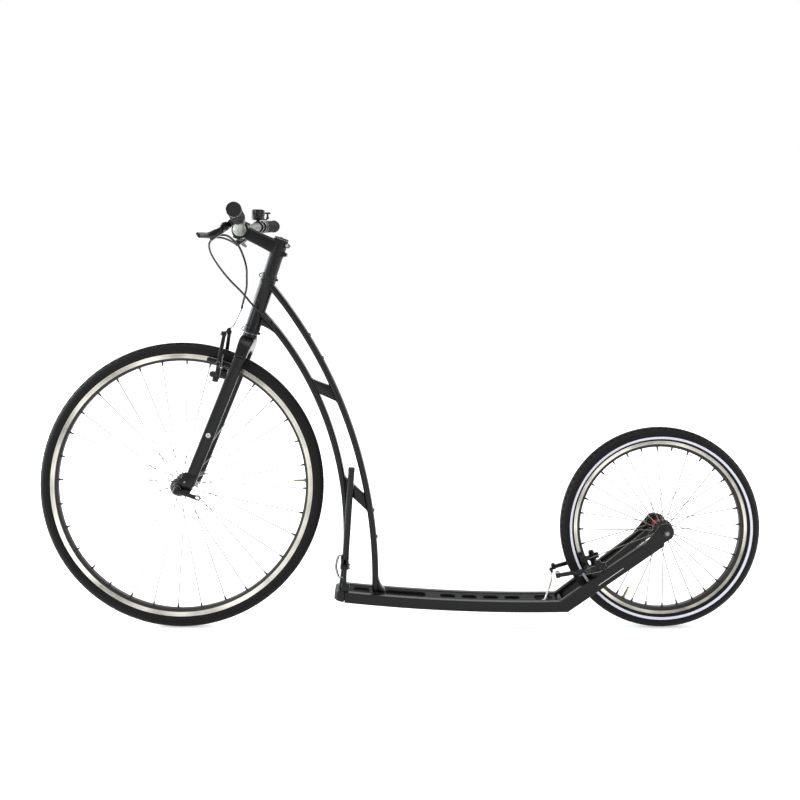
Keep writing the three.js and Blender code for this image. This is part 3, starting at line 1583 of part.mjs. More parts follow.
// A pad curved to the rim, with the post, collar and nut that hold it in its arm.
function padSolid(wheel, spot) {
  const track = padTrack(wheel);
  const postAngle = Math.atan2(spot.y, spot.x);
  const inner = rim.width / 2 + brake.padClear;
  const halfAngle = brake.padLength / 2 / track;
  const shape = new THREE.Shape();
  shape.absarc(0, 0, track + brake.padHeight / 2, postAngle - halfAngle, postAngle + halfAngle, false);
  shape.absarc(0, 0, track - brake.padHeight / 2, postAngle + halfAngle, postAngle - halfAngle, true);
  const block = sidePlate(shape, brake.padWall, edge, inner, 3);
  const outer = brake.armBow + brake.armWidth / 2 + gap;
  const collarEnd = brake.armBow - brake.armWidth / 2 - edge;
  const post = new THREE.LatheGeometry(
    [
      [0, inner + brake.padWall - edge],
      [brake.nutRadius, inner + brake.padWall - edge],
      [brake.nutRadius, collarEnd],
      [brake.postRadius, collarEnd],
      [brake.postRadius, outer],
      [brake.nutRadius, outer],
      [brake.nutRadius, outer + brake.nutHeight],
      [0, outer + brake.nutHeight],
    ].map(([radius, y]) => new THREE.Vector2(radius, y)),
    6,
  );
  post.translate(spot.x, 0, spot.y);
  return joined(block, solidOf(post));
}

function makeBrake(prefix, frame, wheel, parent, centre, sideOf) {
  const pivot = new THREE.Vector2(frame.position.x, frame.position.z);
  const lean = frame.rotation.y;
  const padZ = padAlongArm(centre, padTrack(wheel), pivot, lean);
  const across = ((brake.eyeFront + brake.eyeBack) / 2) * Math.cos(frame.rotation.z);
  const spot = new THREE.Vector2(
    pivot.x + Math.sin(lean) * padZ + across * Math.cos(lean) - centre.x,
    pivot.y + Math.cos(lean) * padZ - across * Math.sin(lean) - centre.y,
  );
  const arm = armSolid(padZ);
  const pad = padSolid(wheel, spot);
  parent.add(frame);
  frame.name = prefix + "_brake_frame";
  for (const side of [-1, 1]) {
    const name = prefix + "_" + (side < 0 ? "left" : "right");
    const armMesh = meshOf(name + "_brake_arm", arm, brakeBlack);
    armMesh.scale.y = side * sideOf;
    frame.add(armMesh);
    const padMesh = meshOf(name + "_brake_pad", pad, rubberBlack);
    padMesh.position.set(centre.x, 0, centre.y);
    padMesh.scale.y = side;
    parent.add(padMesh);
  }
}

// Kickstand

const standLift = deckHeight(deck.front) + railHalf + 2 * gap;
stand.x = deck.front;
stand.z = standLift + stand.pivotRise;

function makeKickstand() {
  const pivot = vec(stand.x, stand.y, stand.z);
  const halfLug = stand.lugWall / 2;
  const earOuter = halfLug + gap + stand.earWall;
  // Bracket: a foot on the deck rail, a post and a lug with the bolt's hole
  const foot = new THREE.BoxGeometry(standBase.depth, standBase.width, standBase.height);
  foot.translate(0, stand.y, standBase.height / 2);
  foot.rotateY(noseSlope);
  foot.translate(stand.x, 0, standLift);
  const lugShape = new THREE.Shape();
  const half = stand.lugWidth / 2;
  lugShape.moveTo(-half, standLift + overrun);
  lugShape.lineTo(half, standLift + overrun);
  lugShape.lineTo(half, stand.z);
  lugShape.absarc(0, stand.z, half, 0, Math.PI, false);
  const lug = new THREE.ExtrudeGeometry(lugShape, { depth: stand.lugWall, bevelEnabled: false, curveSegments: 4 });
  lug.translate(0, 0, -halfLug);
  lug.rotateX(Math.PI / 2);
  lug.rotateZ(Math.PI / 2);
  lug.translate(stand.x, stand.y, 0);
  const boreTube = (extra) =>
    rod(
      vec(stand.x - earOuter - overrun, stand.y, stand.z),
      vec(stand.x + earOuter + overrun, stand.y, stand.z),
      stand.boltRadius + extra,
      12,
      true,
    );
  const springX = stand.x - standSpring.standOff;
  const lowPinZ = stand.z - standSpring.bottomDrop;
  const lowPin = rod(vec(stand.x, stand.y, lowPinZ), vec(springX - gap, stand.y, lowPinZ), standSpring.pinRadius, 8);
  const bracket = joined(solidOf(foot), solidOf(lug), lowPin).subtract(boreTube(gap));
  bike.add(meshOf("kickstand_bracket", bracket, satinBlack));

  const bolt = joined(
    rod(vec(-earOuter - gap, 0, 0), vec(earOuter + gap + stand.boltHeadHeight, 0, 0), stand.boltRadius, 10),
    rod(vec(-earOuter - gap - stand.boltHeadHeight, 0, 0), vec(-earOuter - gap, 0, 0), stand.boltHead, 12),
    rod(vec(earOuter + gap, 0, 0), vec(earOuter + gap + stand.boltHeadHeight, 0, 0), stand.boltHead, 6),
  );
  const boltMesh = meshOf("kickstand_pivot_bolt", bolt, chromed);
  boltMesh.position.copy(pivot);
  bike.add(boltMesh);

  // Leg: two ears around the lug, a round leg and a rubber-tipped end
  const group = new THREE.Group();
  group.position.copy(pivot);
  const lean = vec(Math.sin(stand.lean), 0, Math.cos(stand.lean));
  const ears = [-1, 1].map((side) => {
    const shape = new THREE.Shape();
    const width = stand.legRadius;
    shape.absarc(0, 0, width, Math.PI, turn, false);
    shape.lineTo(width, stand.earLength + stand.legRadius);
    shape.lineTo(-width, stand.earLength + stand.legRadius);
    const geometry = new THREE.ExtrudeGeometry(shape, { depth: stand.earWall, bevelEnabled: false, curveSegments: 6 });
    geometry.rotateX(Math.PI / 2);
    geometry.rotateZ(Math.PI / 2);
    geometry.translate(side > 0 ? halfLug + gap : -earOuter, 0, 0);
    return solidOf(geometry);
  });
  const root = new THREE.BoxGeometry(2 * earOuter, 2 * stand.legRadius, stand.legRadius);
  root.translate(0, 0, stand.earLength + stand.legRadius / 2);
  const legFrom = lean.clone().multiplyScalar(stand.earLength + 1);
  const legTo = lean.clone().multiplyScalar(stand.legLength);
  const leg = rod(legFrom, legTo, stand.legRadius, 14);
  const tipFrom = lean.clone().multiplyScalar(stand.legLength - stand.footHeight);
  const tip = rod(tipFrom, legTo.clone().addScaledVector(lean, edge), stand.footRadius, 14);
  const pinHeight = standSpring.topRise;
  const highPin = rod(vec(0, 0, pinHeight), vec(-standSpring.standOff - gap, 0, pinHeight), standSpring.pinRadius, 8);
  const bore = rod(vec(-earOuter - overrun, 0, 0), vec(earOuter + overrun, 0, 0), stand.boltRadius + gap, 12, true);
  const legMesh = meshOf("kickstand_leg", joined(...ears, solidOf(root), leg, tip, highPin).subtract(bore), satinBlack);
  group.add(legMesh);
  bike.add(group);
}

// A tension spring bowed round the front of the pivot, from the leg's pin to the bracket's pin.
function makeStandSpring() {
  const x = stand.x - standSpring.standOff;
  const low = stand.z - standSpring.bottomDrop + standSpring.pinRadius + gap;
  const high = stand.z + standSpring.topRise - standSpring.pinRadius - gap;
  const stepsPerCurl = 8;
  const sides = 5;
  const total = standSpring.curls * stepsPerCurl;
  const middleLine = (t) => {
    const z = low + (high - low) * t;
    return vec(x - standSpring.bow * Math.sin(Math.PI * t) - standSpring.coilRadius * 0.2, stand.y, z);
  };
  const centres = [];
  for (let i = 0; i <= total; i += 1) {
    const t = i / total;
    const at = middleLine(t);
    const way = middleLine(Math.min(1, t + 0.01)).sub(middleLine(Math.max(0, t - 0.01))).normalize();
    const side = vec(way.z, 0, -way.x);
    const angle = (turn * i) / stepsPerCurl;
    at.addScaledVector(side, Math.cos(angle) * standSpring.coilRadius);
    at.y += Math.sin(angle) * standSpring.coilRadius;
    centres.push(at);
  }
  const curve = new THREE.CatmullRomCurve3(centres);
  const rings = centres.map((at, i) => {
    const way = centres[Math.min(total, i + 1)].clone().sub(centres[Math.max(0, i - 1)]).normalize();
    const axis = middleLine(Math.min(1, i / total + 0.01)).sub(middleLine(Math.max(0, i / total - 0.01)));
    const across = new THREE.Vector3().crossVectors(way, axis).normalize();
    const up = new THREE.Vector3().crossVectors(across, way).normalize();
    return ringAt(at, across, up, standSpring.wire, sides);
  });
  let least = Infinity;
  for (let i = 0; i < centres.length; i += 1) {
    for (let j = i + stepsPerCurl - 2; j < centres.length; j += 1) {
      least = Math.min(least, centres[i].distanceTo(centres[j]) - 2 * standSpring.wire);
    }
  }
  console.log("kickstand spring: least gap to itself " + least.toFixed(2) + " mm over " + curve.getLength().toFixed(0) + " mm");
  bike.add(meshOf("kickstand_spring", skinned(rings), brakeBlack));
}

// Cords: each route is chosen by hand. Those by the column are written in its axes, with heights from
// the head tube's top, and the rear noodle's along the stays from the rear brake.
const frontCableRoute = [
[-129.76, -140.91, 60.44],
  [-130.76, -131.5, 59.9],
  [-130.62, -119, 63.32],
  [-124.27, -106.5, 70.56],
  [-110.9, -96, 74.75],
  [-95.18, -84, 69.18],
  [-80.96, -72, 59.85],
  [-64.17, -45, 35.06],
  [-54.87, -18, 11.59],
  [-52.16, -2, -4.36],
  [-46.57, 14, -30.63],
  [-46.5, 28, -52.3],
  [-46.36, 44, -86.35],
];
const rearCableRoute = [
  [-129.76, 140.91, 60.44],
  [-131.05, 131.5, 59.81],
  [-134.8, 119.5, 61.31],
  [-143.9, 107.5, 63.05],
  [-155.83, 95, 63.13],
  [-166.69, 80, 59.67],
  [-172.88, 62, 51.95],
  [-171.86, 42, 40.18],
  [-161.48, 20, 26.54],
  [-146.16, 3, 13.89],
  [-128.53, -10, 1.89],
  [-110.81, -20, -9.12],
  [-81.12, -27, -26.41],
  [-53.47, -31, -39.74],
  [-39.02, -32, -47.52],
  [-8.36, -31, -66.81],
  [20.52, -27.5, -80.05],
  [39.45, -20.5, -89.62],
];
const frontNoodleRoute = [
  [-46.58, 44, -87.27],
  [-49.99, 46.5, -115.34],
  [-52.75, 45, -134.14],
  [-54.83, 38, -140.62],
  [-55.41, 30, -141.75],
  [-55.54, 21, -142],
];
// Shares of the way from the nose to the noodle, then aside, then over the deck's middle line.
const deckCableRoute = [
  [0, 0, -3.8144],
  [0.1234, 3, -6.3685],
  [0.3398, 5, -6.7083],
  [0.5996, 6, -6.6858],
  [0.8377, 6, -6.1909],
  [0.9675, 6, -3.4477],
  [1, 6, 0.0538],
];
const rearNoodleRoute = [
  [-160.52, 6, -2.76],
  [-156.71, 6, -4.13],
  [-150.29, 7, -3.07],
  [-141.8, 10, 1.92],
  [-132.49, 17, 6.32],
  [-121.79, 28, 10.96],
  [-111.32, 39, 16.99],
  [-104.11, 45, 25.35],
  [-100.32, 43, 34.94],
  [-99.37, 36, 40.9],
  [-99.34, 22, 41.62],
];

function byColumn(route) {
  return route.map(([x, y, z]) => [x, y, headTube.top + z]);
}

function makeCords() {
  const cable = (route, steps) => cordTube(route, cord.radius, cord.sides, steps);
  const tubeOf = (route, steps) => cordTube(route, noodle.radius, noodle.sides, steps);
  const rearNoodle = rearNoodleRoute.map(([x, y, z]) => alongStay(rearBrakePoint, x, y, z).toArray());
  const start = deck.front + deckCable.start;
  const end = rearNoodle[0][0] - deckCable.joint;
  const underDeckRoute = deckCableRoute.map(([share, y, rise]) => {
    const x = THREE.MathUtils.lerp(start, end, share);
    return [x, y, deckHeight(x) + rise];
  });
  steering.add(meshOf("front_brake_cable", cable(byColumn(frontCableRoute), 20), rubberBlack));
  head.add(meshOf("rear_brake_cable", cable(byColumn(rearCableRoute), 32), rubberBlack));
  steering.add(meshOf("front_noodle", tubeOf(byColumn(frontNoodleRoute), 12), silver));
  bike.add(meshOf("rear_noodle", tubeOf(rearNoodle, 16), silver));
  bike.add(meshOf("deck_brake_cable", cable(underDeckRoute, 12), rubberBlack));
}

makeHeadTube();
makeCup("lower_headset_cup", headTube.bottom - gap - cup.height, cup.height);
makeCup("upper_headset_cup", headTube.top + gap, cup.upperHeight);
makeFrontArc();
makeRearArc();
makeBridge("upper_bridge", bridge.upperFront, bridgeDrop.upperFront, bridge.upperRear, bridgeDrop.upperRear);
makeBridge("lower_bridge", bridge.lowerFront, bridgeDrop.lowerFront, bridge.lowerRear, bridgeDrop.lowerRear);
makeRails();
makeDeckPlate();
makeNose();
makeStays();
makeStayBridge();
makeRearAxle();
makeKickstand();
makeStandSpring();
makeCrown();
makeBlades();
makeSkewer();
makeQuickRelease();
makeSpacer("lower_spacer", stackBottom, spacer.lowerHeight);
makeSpacer("upper_spacer", stackBottom + spacer.lowerHeight + gap, spacer.upperHeight);
makeStem();
makeCap();
steering.add(meshOf("handlebar", barSolid(), silver));
makeBarEnds();
makeBell();
makeStriker();
makeWheel("front", frontWheel, steering, -rake, 0);
makeWheel("rear", rearWheel, bike, rearAxleX, rearAxleZ);
makeBrake("front", brakeFrameFront(), frontWheel, steering, new THREE.Vector2(-rake, 0), 1);
makeBrake("rear", brakeFrameRear(), rearWheel, bike, new THREE.Vector2(rearAxleX, rearAxleZ), -1);
makeCords();

export default bike;
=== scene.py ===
from math import acos, asin, atan2, cos, pi, radians, sin, sqrt, tan, tau

import bmesh
import bpy
from mathutils import Matrix, Vector


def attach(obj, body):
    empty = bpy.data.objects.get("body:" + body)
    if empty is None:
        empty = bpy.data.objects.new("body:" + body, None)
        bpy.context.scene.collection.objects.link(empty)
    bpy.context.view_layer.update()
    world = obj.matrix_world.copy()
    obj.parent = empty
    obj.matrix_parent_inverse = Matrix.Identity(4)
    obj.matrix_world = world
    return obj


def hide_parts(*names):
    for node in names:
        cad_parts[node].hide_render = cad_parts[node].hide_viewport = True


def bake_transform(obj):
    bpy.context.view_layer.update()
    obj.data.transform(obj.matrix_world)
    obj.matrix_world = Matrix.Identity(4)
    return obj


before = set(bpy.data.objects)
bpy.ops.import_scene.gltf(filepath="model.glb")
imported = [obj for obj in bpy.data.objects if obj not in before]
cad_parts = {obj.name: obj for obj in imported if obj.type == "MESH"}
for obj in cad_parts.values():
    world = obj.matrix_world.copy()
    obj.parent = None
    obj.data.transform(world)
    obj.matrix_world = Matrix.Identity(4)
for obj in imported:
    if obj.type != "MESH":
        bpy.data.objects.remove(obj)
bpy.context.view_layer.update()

# A kick bike, dressed over its CAD frame. Lengths are in millimetres until a piece is finished.
# +X is the rear, -Y the rider's left, +Z up.

MM = 0.001
BOTH = (-1, 1)
SIDES = ((-1, "left"), (1, "right"))

# Edges that turn by more degrees than this are shaded sharp
SHARP = 32

# The play left between two pieces that sit on each other
GAP = 0.3


# Finishes


def tone(red, green, blue):
    """A colour written as a photograph shows it, 0 to 255, as the light it stands for."""

    def light(value):
        value /= 255
        return value / 12.92 if value <= 0.04045 else ((value + 0.055) / 1.055) ** 2.4

    return light(red), light(green), light(blue), 1.0


def fed(tree, node, inputs):
    """Gives a node its inputs: another node's socket is linked to it, anything else is its value."""
    for name, given in inputs.items():
        if isinstance(given, bpy.types.NodeSocket):
            tree.links.new(given, node.inputs[name])
        else:
            node.inputs[name].default_value = given
    return node


def added(tree, kind, inputs):
    return fed(tree, tree.nodes.new("ShaderNode" + kind), inputs)


def finish_of(
    name, dark, pale, gloss, metallic=0, grain=250, relief=0, stretch=(1, 1, 1), specular=0.5, contrast=1
):
    """A finish that varies in colour and roughness over a grain; gloss is its roughness range."""
    material = bpy.data.materials.new(name)
    material.use_nodes = True
    tree = material.node_tree
    place = added(tree, "TexCoord", {})
    mapping = added(tree, "Mapping", {"Vector": place.outputs["Object"], "Scale": stretch})
    noise = added(tree, "TexNoise", {"Vector": mapping.outputs["Vector"], "Scale": grain, "Detail": 4})
    grey, half = noise.outputs["Fac"], 0.5 / contrast
    share = added(tree, "MapRange", {"Value": grey, "From Min": 0.5 - half, "From Max": 0.5 + half})
    mix = tree.nodes.new("ShaderNodeMix")
    mix.data_type = "RGBA"
    fed(tree, mix, {"A": tone(*dark), "B": tone(*pale), "Factor": share.outputs["Result"]})
    rough = added(tree, "MapRange", {"Value": grey, "To Min": gloss[0], "To Max": gloss[1]})
    looks = {
        "Base Color": mix.outputs["Result"],
        "Roughness": rough.outputs["Result"],
        "Metallic": metallic,
        "Specular IOR Level": specular,
    }
    if relief:
        bump = added(tree, "Bump", {"Height": grey, "Strength": relief, "Distance": 0.0003})
        looks["Normal"] = bump.outputs["Normal"]
    fed(tree, tree.nodes["Principled BSDF"], looks)
    return material


frame_paint = finish_of(
    "frame_paint", (8, 8, 9), (13, 13, 15), (0.18, 0.27), grain=900, relief=0.05, specular=0.22
)
stem_paint = finish_of(
    "stem_paint", (10, 10, 11), (16, 15, 17), (0.3, 0.42), grain=900, relief=0.05, specular=0.2
)
deck_grip = finish_of(
    "deck_grip", (10, 10, 11), (26, 26, 28), (0.6, 0.85), grain=1600, relief=0.9, specular=0.2
)
bar_alloy = finish_of(
    "bar_alloy", (104, 106, 98), (136, 138, 129), (0.34, 0.46), grain=60, stretch=(4, 1, 4), specular=0.2
)
bright_alloy = finish_of(
    "bright_alloy", (150, 149, 144), (196, 194, 188), (0.16, 0.28), metallic=1, grain=500
)
grip_rubber = finish_of(
    "grip_rubber", (8, 8, 9), (16, 16, 18), (0.62, 0.8), grain=1500, relief=0.5, specular=0.18
)
grip_gloss = finish_of("grip_gloss", (10, 10, 13), (16, 15, 20), (0.14, 0.2), specular=0.35)
brake_black = finish_of("brake_black", (8, 8, 9), (15, 15, 16), (0.26, 0.38), grain=700, specular=0.22)
# The bell's chrome streaks from dark to pale round the dome, along its height: painted reflections of a
# chrome cylinder over its own dark chrome.
bell_chrome = finish_of(
    "bell_chrome", (13, 13, 14), (64, 63, 59), (0.1, 0.18), metallic=1, grain=110,
    stretch=(1, 1, 0.04), contrast=2.0,
)
tyre_rubber = finish_of(
    "tyre_rubber", (6, 6, 6), (17, 16, 16), (0.5, 0.7), grain=700, relief=0.25, specular=0.15
)
stripe_film = finish_of("stripe_film", (205, 207, 226), (232, 233, 245), (0.35, 0.5), grain=800)
# The brake track's own silver, laid out in large pale and dark patches round the rim that are painted
# highlights and painted reflections.
rim_track = finish_of(
    "rim_track", (92, 91, 86), (226, 222, 210), (0.22, 0.34), metallic=1, grain=7, contrast=2.6
)
rim_black = finish_of("rim_black", (20, 18, 17), (34, 31, 29), (0.3, 0.42), grain=600, specular=0.3)
spoke_steel = finish_of("spoke_steel", (104, 103, 98), (136, 134, 128), (0.2, 0.3), metallic=1, grain=900)
valve_brass = finish_of("valve_brass", (112, 106, 82), (152, 144, 112), (0.25, 0.38), metallic=1, grain=900)
bolt_chrome = finish_of(
    "bolt_chrome", (150, 150, 148), (196, 196, 194), (0.14, 0.24), metallic=1, grain=900
)
bolt_dark = finish_of("bolt_dark", (34, 34, 35), (58, 58, 58), (0.24, 0.36), metallic=0.7, grain=900)
axle_steel = finish_of("axle_steel", (104, 104, 103), (140, 140, 138), (0.28, 0.4), metallic=1, grain=900)
lever_black = finish_of("lever_black", (8, 8, 8), (15, 14, 14), (0.44, 0.56), grain=700, specular=0.14)
pad_rubber = finish_of(
    "pad_rubber", (14, 14, 15), (24, 24, 25), (0.7, 0.85), grain=1200, relief=0.3, specular=0.2
)
cable_black = finish_of("cable_black", (14, 14, 15), (22, 22, 23), (0.34, 0.46), grain=700, specular=0.3)
spring_steel = finish_of("spring_steel", (24, 24, 26), (48, 48, 50), (0.3, 0.42), metallic=0.6, grain=900)
hub_black = finish_of("hub_black", (14, 14, 15), (24, 24, 26), (0.22, 0.32), grain=600, specular=0.3)
hub_red = finish_of("hub_red", (132, 24, 20), (168, 36, 28), (0.2, 0.3), metallic=0.5, grain=400)
line_paint = finish_of("line_paint", (196, 196, 198), (226, 226, 228), (0.3, 0.42), grain=900)


# Shaping


def only(items, kind):
    return [item for item in items if isinstance(item, kind)]


def moved(shape, matrix):
    """The same shape in another place; a mirrored one is turned outside out again."""
    bmesh.ops.transform(shape, matrix=matrix, verts=shape.verts)
    if matrix.determinant() < 0:
        bmesh.ops.recalc_face_normals(shape, faces=shape.faces)
    return shape


def shift(by):
    return Matrix.Translation(by)


def aside(y):
    return Vector((0, y, 0))


def flipped(side):
    return Matrix.Diagonal((1, side, 1, 1))


def on(at, way):
    """A place whose Z runs the given way."""
    place = Vector(way).to_track_quat("Z", "Y").to_matrix().to_4x4()
    place.translation = Vector(at)
    return place


def stood(x_way, y_way, z_way, at):
    """A place from its three ways and its origin."""
    place = Matrix((x_way, y_way, z_way)).transposed().to_4x4()
    place.translation = at
    return place


def outward(shape):
    bmesh.ops.remove_doubles(shape, verts=shape.verts, dist=1e-4)
    bmesh.ops.recalc_face_normals(shape, faces=shape.faces)
    return shape


def eased(shape, amount, segments=2, sharper=30):
    """Rounds every edge sharper than an angle."""
    edges = [e for e in shape.edges if len(e.link_faces) == 2 and e.calc_face_angle() > radians(sharper)]
    bmesh.ops.bevel(
        shape, geom=edges, offset=amount, offset_type="OFFSET", affect="EDGES", segments=segments,
        profile=0.5, material=-1, clamp_overlap=True,
    )
    return shape


def circle(radius, sides=16):
    return [(radius * cos(tau * k / sides), radius * sin(tau * k / sides)) for k in range(sides)]


def round_end(centre, radius, low, high, steps):
    """Points on a circle from one angle to another."""
    angles = [low + (high - low) * k / steps for k in range(steps + 1)]
    return [(centre[0] + radius * cos(a), centre[1] + radius * sin(a)) for a in angles]


def rounded(width, height, corner, steps=4):
    """A rectangle with round corners."""
    points = []
    for quarter, (u, v) in enumerate(((1, 1), (-1, 1), (-1, -1), (1, -1))):
        centre = u * (width / 2 - corner), v * (height / 2 - corner)
        points += round_end(centre, corner, pi / 2 * quarter, pi / 2 * (quarter + 1), steps)
    return points


def bent(start, pull, end, steps=8):
    """Points on a curve from start to end that is drawn towards pull; the start itself is left out."""
    points = []
    for k in range(1, steps + 1):
        t = k / steps
        points.append(
            tuple((1 - t) ** 2 * a + 2 * t * (1 - t) * b + t * t * c for a, b, c in zip(start, pull, end))
        )
    return points


def turned(profile, steps=48, looped=False):
    """A turned piece about Z from (radius, height) pairs."""
    shape = bmesh.new()
    verts = [shape.verts.new((radius, 0, height)) for radius, height in profile]
    pairs = list(zip(verts, verts[1:])) + ([(verts[-1], verts[0])] if looped else [])
    edges = [shape.edges.new(pair) for pair in pairs]
    bmesh.ops.spin(
        shape, geom=verts + edges, axis=(0, 0, 1), cent=(0, 0, 0), angle=tau, steps=steps, use_merge=True
    )
    return outward(shape)


def hoop(radius, wire):
    return turned([(radius + u, v) for u, v in circle(wire, 10)], 28, looped=True)


def swept(section, frames, closed=False):
    """A section carried through a row of frames, capped unless it closes on itself."""
    shape = bmesh.new()
    first = [shape.verts.new(frames[0] @ Vector((u, v, 0))) for u, v in section]
    opening = [shape.edges.new(pair) for pair in zip(first, first[1:] + first[:1])]
    edges = opening
    for before, after in zip(frames, frames[1:]):
        made = bmesh.ops.extrude_edge_only(shape, edges=edges)["geom"]
        edges = only(made, bmesh.types.BMEdge)
        bmesh.ops.transform(shape, matrix=after @ before.inverted(), verts=only(made, bmesh.types.BMVert))
    if not closed:
        for loop in (opening, edges):
            bmesh.ops.contextual_create(shape, geom=loop)
    return outward(shape)


def slab(outline, thickness, ease=0.0, holes=(), segments=2):
    """A plate from its outline in X and Y, centred on Z = 0, with holes through it."""
    shape = bmesh.new()
    edges = []
    for ring in (outline, *holes):
        verts = [shape.verts.new((u, v, -thickness / 2)) for u, v in ring]
        edges += [shape.edges.new(pair) for pair in zip(verts, verts[1:] + verts[:1])]
    if holes:
        bmesh.ops.triangle_fill(shape, edges=edges, use_beauty=True)
    else:
        bmesh.ops.contextual_create(shape, geom=edges)
    made = bmesh.ops.extrude_face_region(shape, geom=shape.faces[:])["geom"]
    bmesh.ops.translate(shape, vec=(0, 0, thickness), verts=only(made, bmesh.types.BMVert))
    outward(shape)
    return eased(shape, ease, segments) if ease else shape


def block(size, ease=0.0):
    shape = bmesh.new()
    bmesh.ops.create_cube(shape, size=1)
    bmesh.ops.scale(shape, vec=size, verts=shape.verts)
    return eased(shape, ease) if ease else shape


def ball(centre, radius, rings=10):
    shape = bmesh.new()
    bmesh.ops.create_uvsphere(shape, u_segments=rings * 2, v_segments=rings, radius=radius)
    return moved(shape, shift(Vector(centre)))


def rod(start, end, radius, tip=None, sides=20, ease=0.0):
    """A round bar between two points, tapered where a tip radius is given."""
    start, end = Vector(start), Vector(end)
    tip = radius if tip is None else tip
    shape = bmesh.new()
    bmesh.ops.create_cone(
        shape, cap_ends=True, segments=sides, radius1=radius, radius2=tip, depth=(end - start).length
    )
    if ease:
        eased(shape, ease, sharper=60)
    return moved(shape, on((start + end) / 2, end - start))


def pipe(start, end, radius, bore, ease=0.4, sides=32):
    """A ring or tube between two points."""
    start, end = Vector(start), Vector(end)
    length = (end - start).length
    outside = [(radius - ease, 0), (radius, ease), (radius, length - ease), (radius - ease, length)]
    shape = turned([(bore, 0), *outside, (bore, length)], sides, looped=True)
    return moved(shape, on(start, end - start))


def screw(at, way, radius, height, sides=20):
    """A screw's head with its socket, standing on a point."""
    well, bottom = radius * 0.5, height * 0.45
    socket = [(0, bottom), (well, bottom), (well, height), (radius * 0.88, height)]
    head = turned([*socket, (radius, height - radius * 0.12), (radius, 0), (0, 0)], sides)
    return moved(head, on(at, way))


def nut(at, way, radius, height):
    """A six-sided nut with eased corners."""
    way = Vector(way).normalized()
    return rod(at, Vector(at) + way * height, radius, sides=6, ease=radius * 0.12)


def parted(shape, at, normal, outer_off=False):
    """Cuts a shape through along a plane; what lies on the normal's side can be taken off."""
    geometry = shape.verts[:] + shape.edges[:] + shape.faces[:]
    return bmesh.ops.bisect_plane(
        shape, geom=geometry, dist=1e-5, plane_co=at, plane_no=normal, clear_outer=outer_off
    )


def cut(shape, at, normal):
    """Takes off what lies on the normal's side of a plane and closes the shape again."""
    made = parted(shape, at, normal, True)["geom_cut"]
    bmesh.ops.holes_fill(shape, edges=only(made, bmesh.types.BMEdge), sides=0)
    return outward(shape)


def sliced(shape, start, length, count):
    """Parts a shape across X into even lengths, so that it can be bent."""
    for k in range(1, count):
        parted(shape, (start + length * k / count, 0, 0), (1, 0, 0))


def through(points, spans=6):
    """A smooth path through points."""
    knots = [Vector(p) for p in points]
    knots = [2 * knots[0] - knots[1], *knots, 2 * knots[-1] - knots[-2]]
    path = []
    for four in zip(knots, knots[1:], knots[2:], knots[3:]):
        times = [0.0]
        for a, b in zip(four, four[1:]):
            times.append(times[-1] + sqrt((b - a).length))
        for k in range(spans):
            t = times[1] + (times[2] - times[1]) * k / spans
            level = list(four)
            for step in (1, 2, 3):
                for i in range(4 - step):
                    low, high = (times[i], times[i + step]) if step < 3 else (times[1], times[2])
                    level[i] = level[i].lerp(level[i + 1], (t - low) / (high - low))
            path.append(level[0])
    path.append(knots[-2])
    return path


def along(path, sizes=None, first=None):
    """A frame at each point of a path: Z runs along it, and X and Y don't twist."""
    frames = []
    side = Vector(first) if first else None
    last = len(path) - 1
    for k, at in enumerate(path):
        way = (path[min(k + 1, last)] - path[max(k - 1, 0)]).normalized()
        side = way.orthogonal() if side is None else side - way * side.dot(way)
        side.normalize()
        place = stood(side, way.cross(side), way, at)
        if sizes:
            size = sizes[k] if isinstance(sizes[k], tuple) else (sizes[k], sizes[k])
            place = place @ Matrix.Diagonal((*size, 1, 1))
        frames.append(place)
    return frames


def cord(path, radius, sides=12):
    return swept(circle(radius, sides), along(path))


def bead(points, radius=1.3, count=72):
    """A rippled weld bead round a ring of points."""
    ring = points + points[:1]
    lengths = [0.0]
    for a, b in zip(ring, ring[1:]):
        lengths.append(lengths[-1] + (b - a).length)
    even, k = [], 0
    for step in range(count):
        want = lengths[-1] * step / count
        while lengths[k + 1] < want:
            k += 1
        share = (want - lengths[k]) / max(lengths[k + 1] - lengths[k], 1e-6)
        even.append(ring[k].lerp(ring[k + 1], share))
    middle = sum(even, Vector()) / count
    frames = []
    for step in range(count + 1):
        here = even[step % count]
        way = (even[(step + 1) % count] - even[(step - 1) % count]).normalized()
        out = here - middle
        out = (out - way * out.dot(way)).normalized()
        size = radius * (1.12 if step % 2 else 0.9)
        frames.append(stood(out, way.cross(out), way, here) @ Matrix.Diagonal((size, size, 1, 1)))
    return swept(circle(1, 6), frames, closed=True)


def placed(parts, place):
    return [(moved(shape, place), finish) for shape, finish in parts]


def finished(name, parts):
    """Parts, each with its finish, made into one object."""
    name += "_piece"
    whole = bmesh.new()
    finishes = []
    for shape, finish in parts:
        choices = finish if isinstance(finish, tuple) else (finish,)
        for choice in choices:
            if choice not in finishes:
                finishes.append(choice)
        for face in shape.faces:
            face.material_index = finishes.index(choices[min(face.material_index, len(choices) - 1)])
            face.smooth = True
        bmesh.ops.scale(shape, vec=(MM, MM, MM), verts=shape.verts)
        passing = bpy.data.meshes.new("passing")
        shape.to_mesh(passing)
        whole.from_mesh(passing)
        bpy.data.meshes.remove(passing)
        shape.free()
    mesh = bpy.data.meshes.new(name)
    whole.to_mesh(mesh)
    whole.free()
    for finish in finishes:
        mesh.materials.append(finish)
    mesh.set_sharp_from_angle(angle=radians(SHARP))
    made = bpy.data.objects.new(name, mesh)
    bpy.context.scene.collection.objects.link(made)
    return made


def piece(name, body, parts, node=None):
    """A finished piece that rides on a body and stands for the CAD node given, or else of its name."""
    made = finished(name, parts)
    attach(made, body)
    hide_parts(node or name)


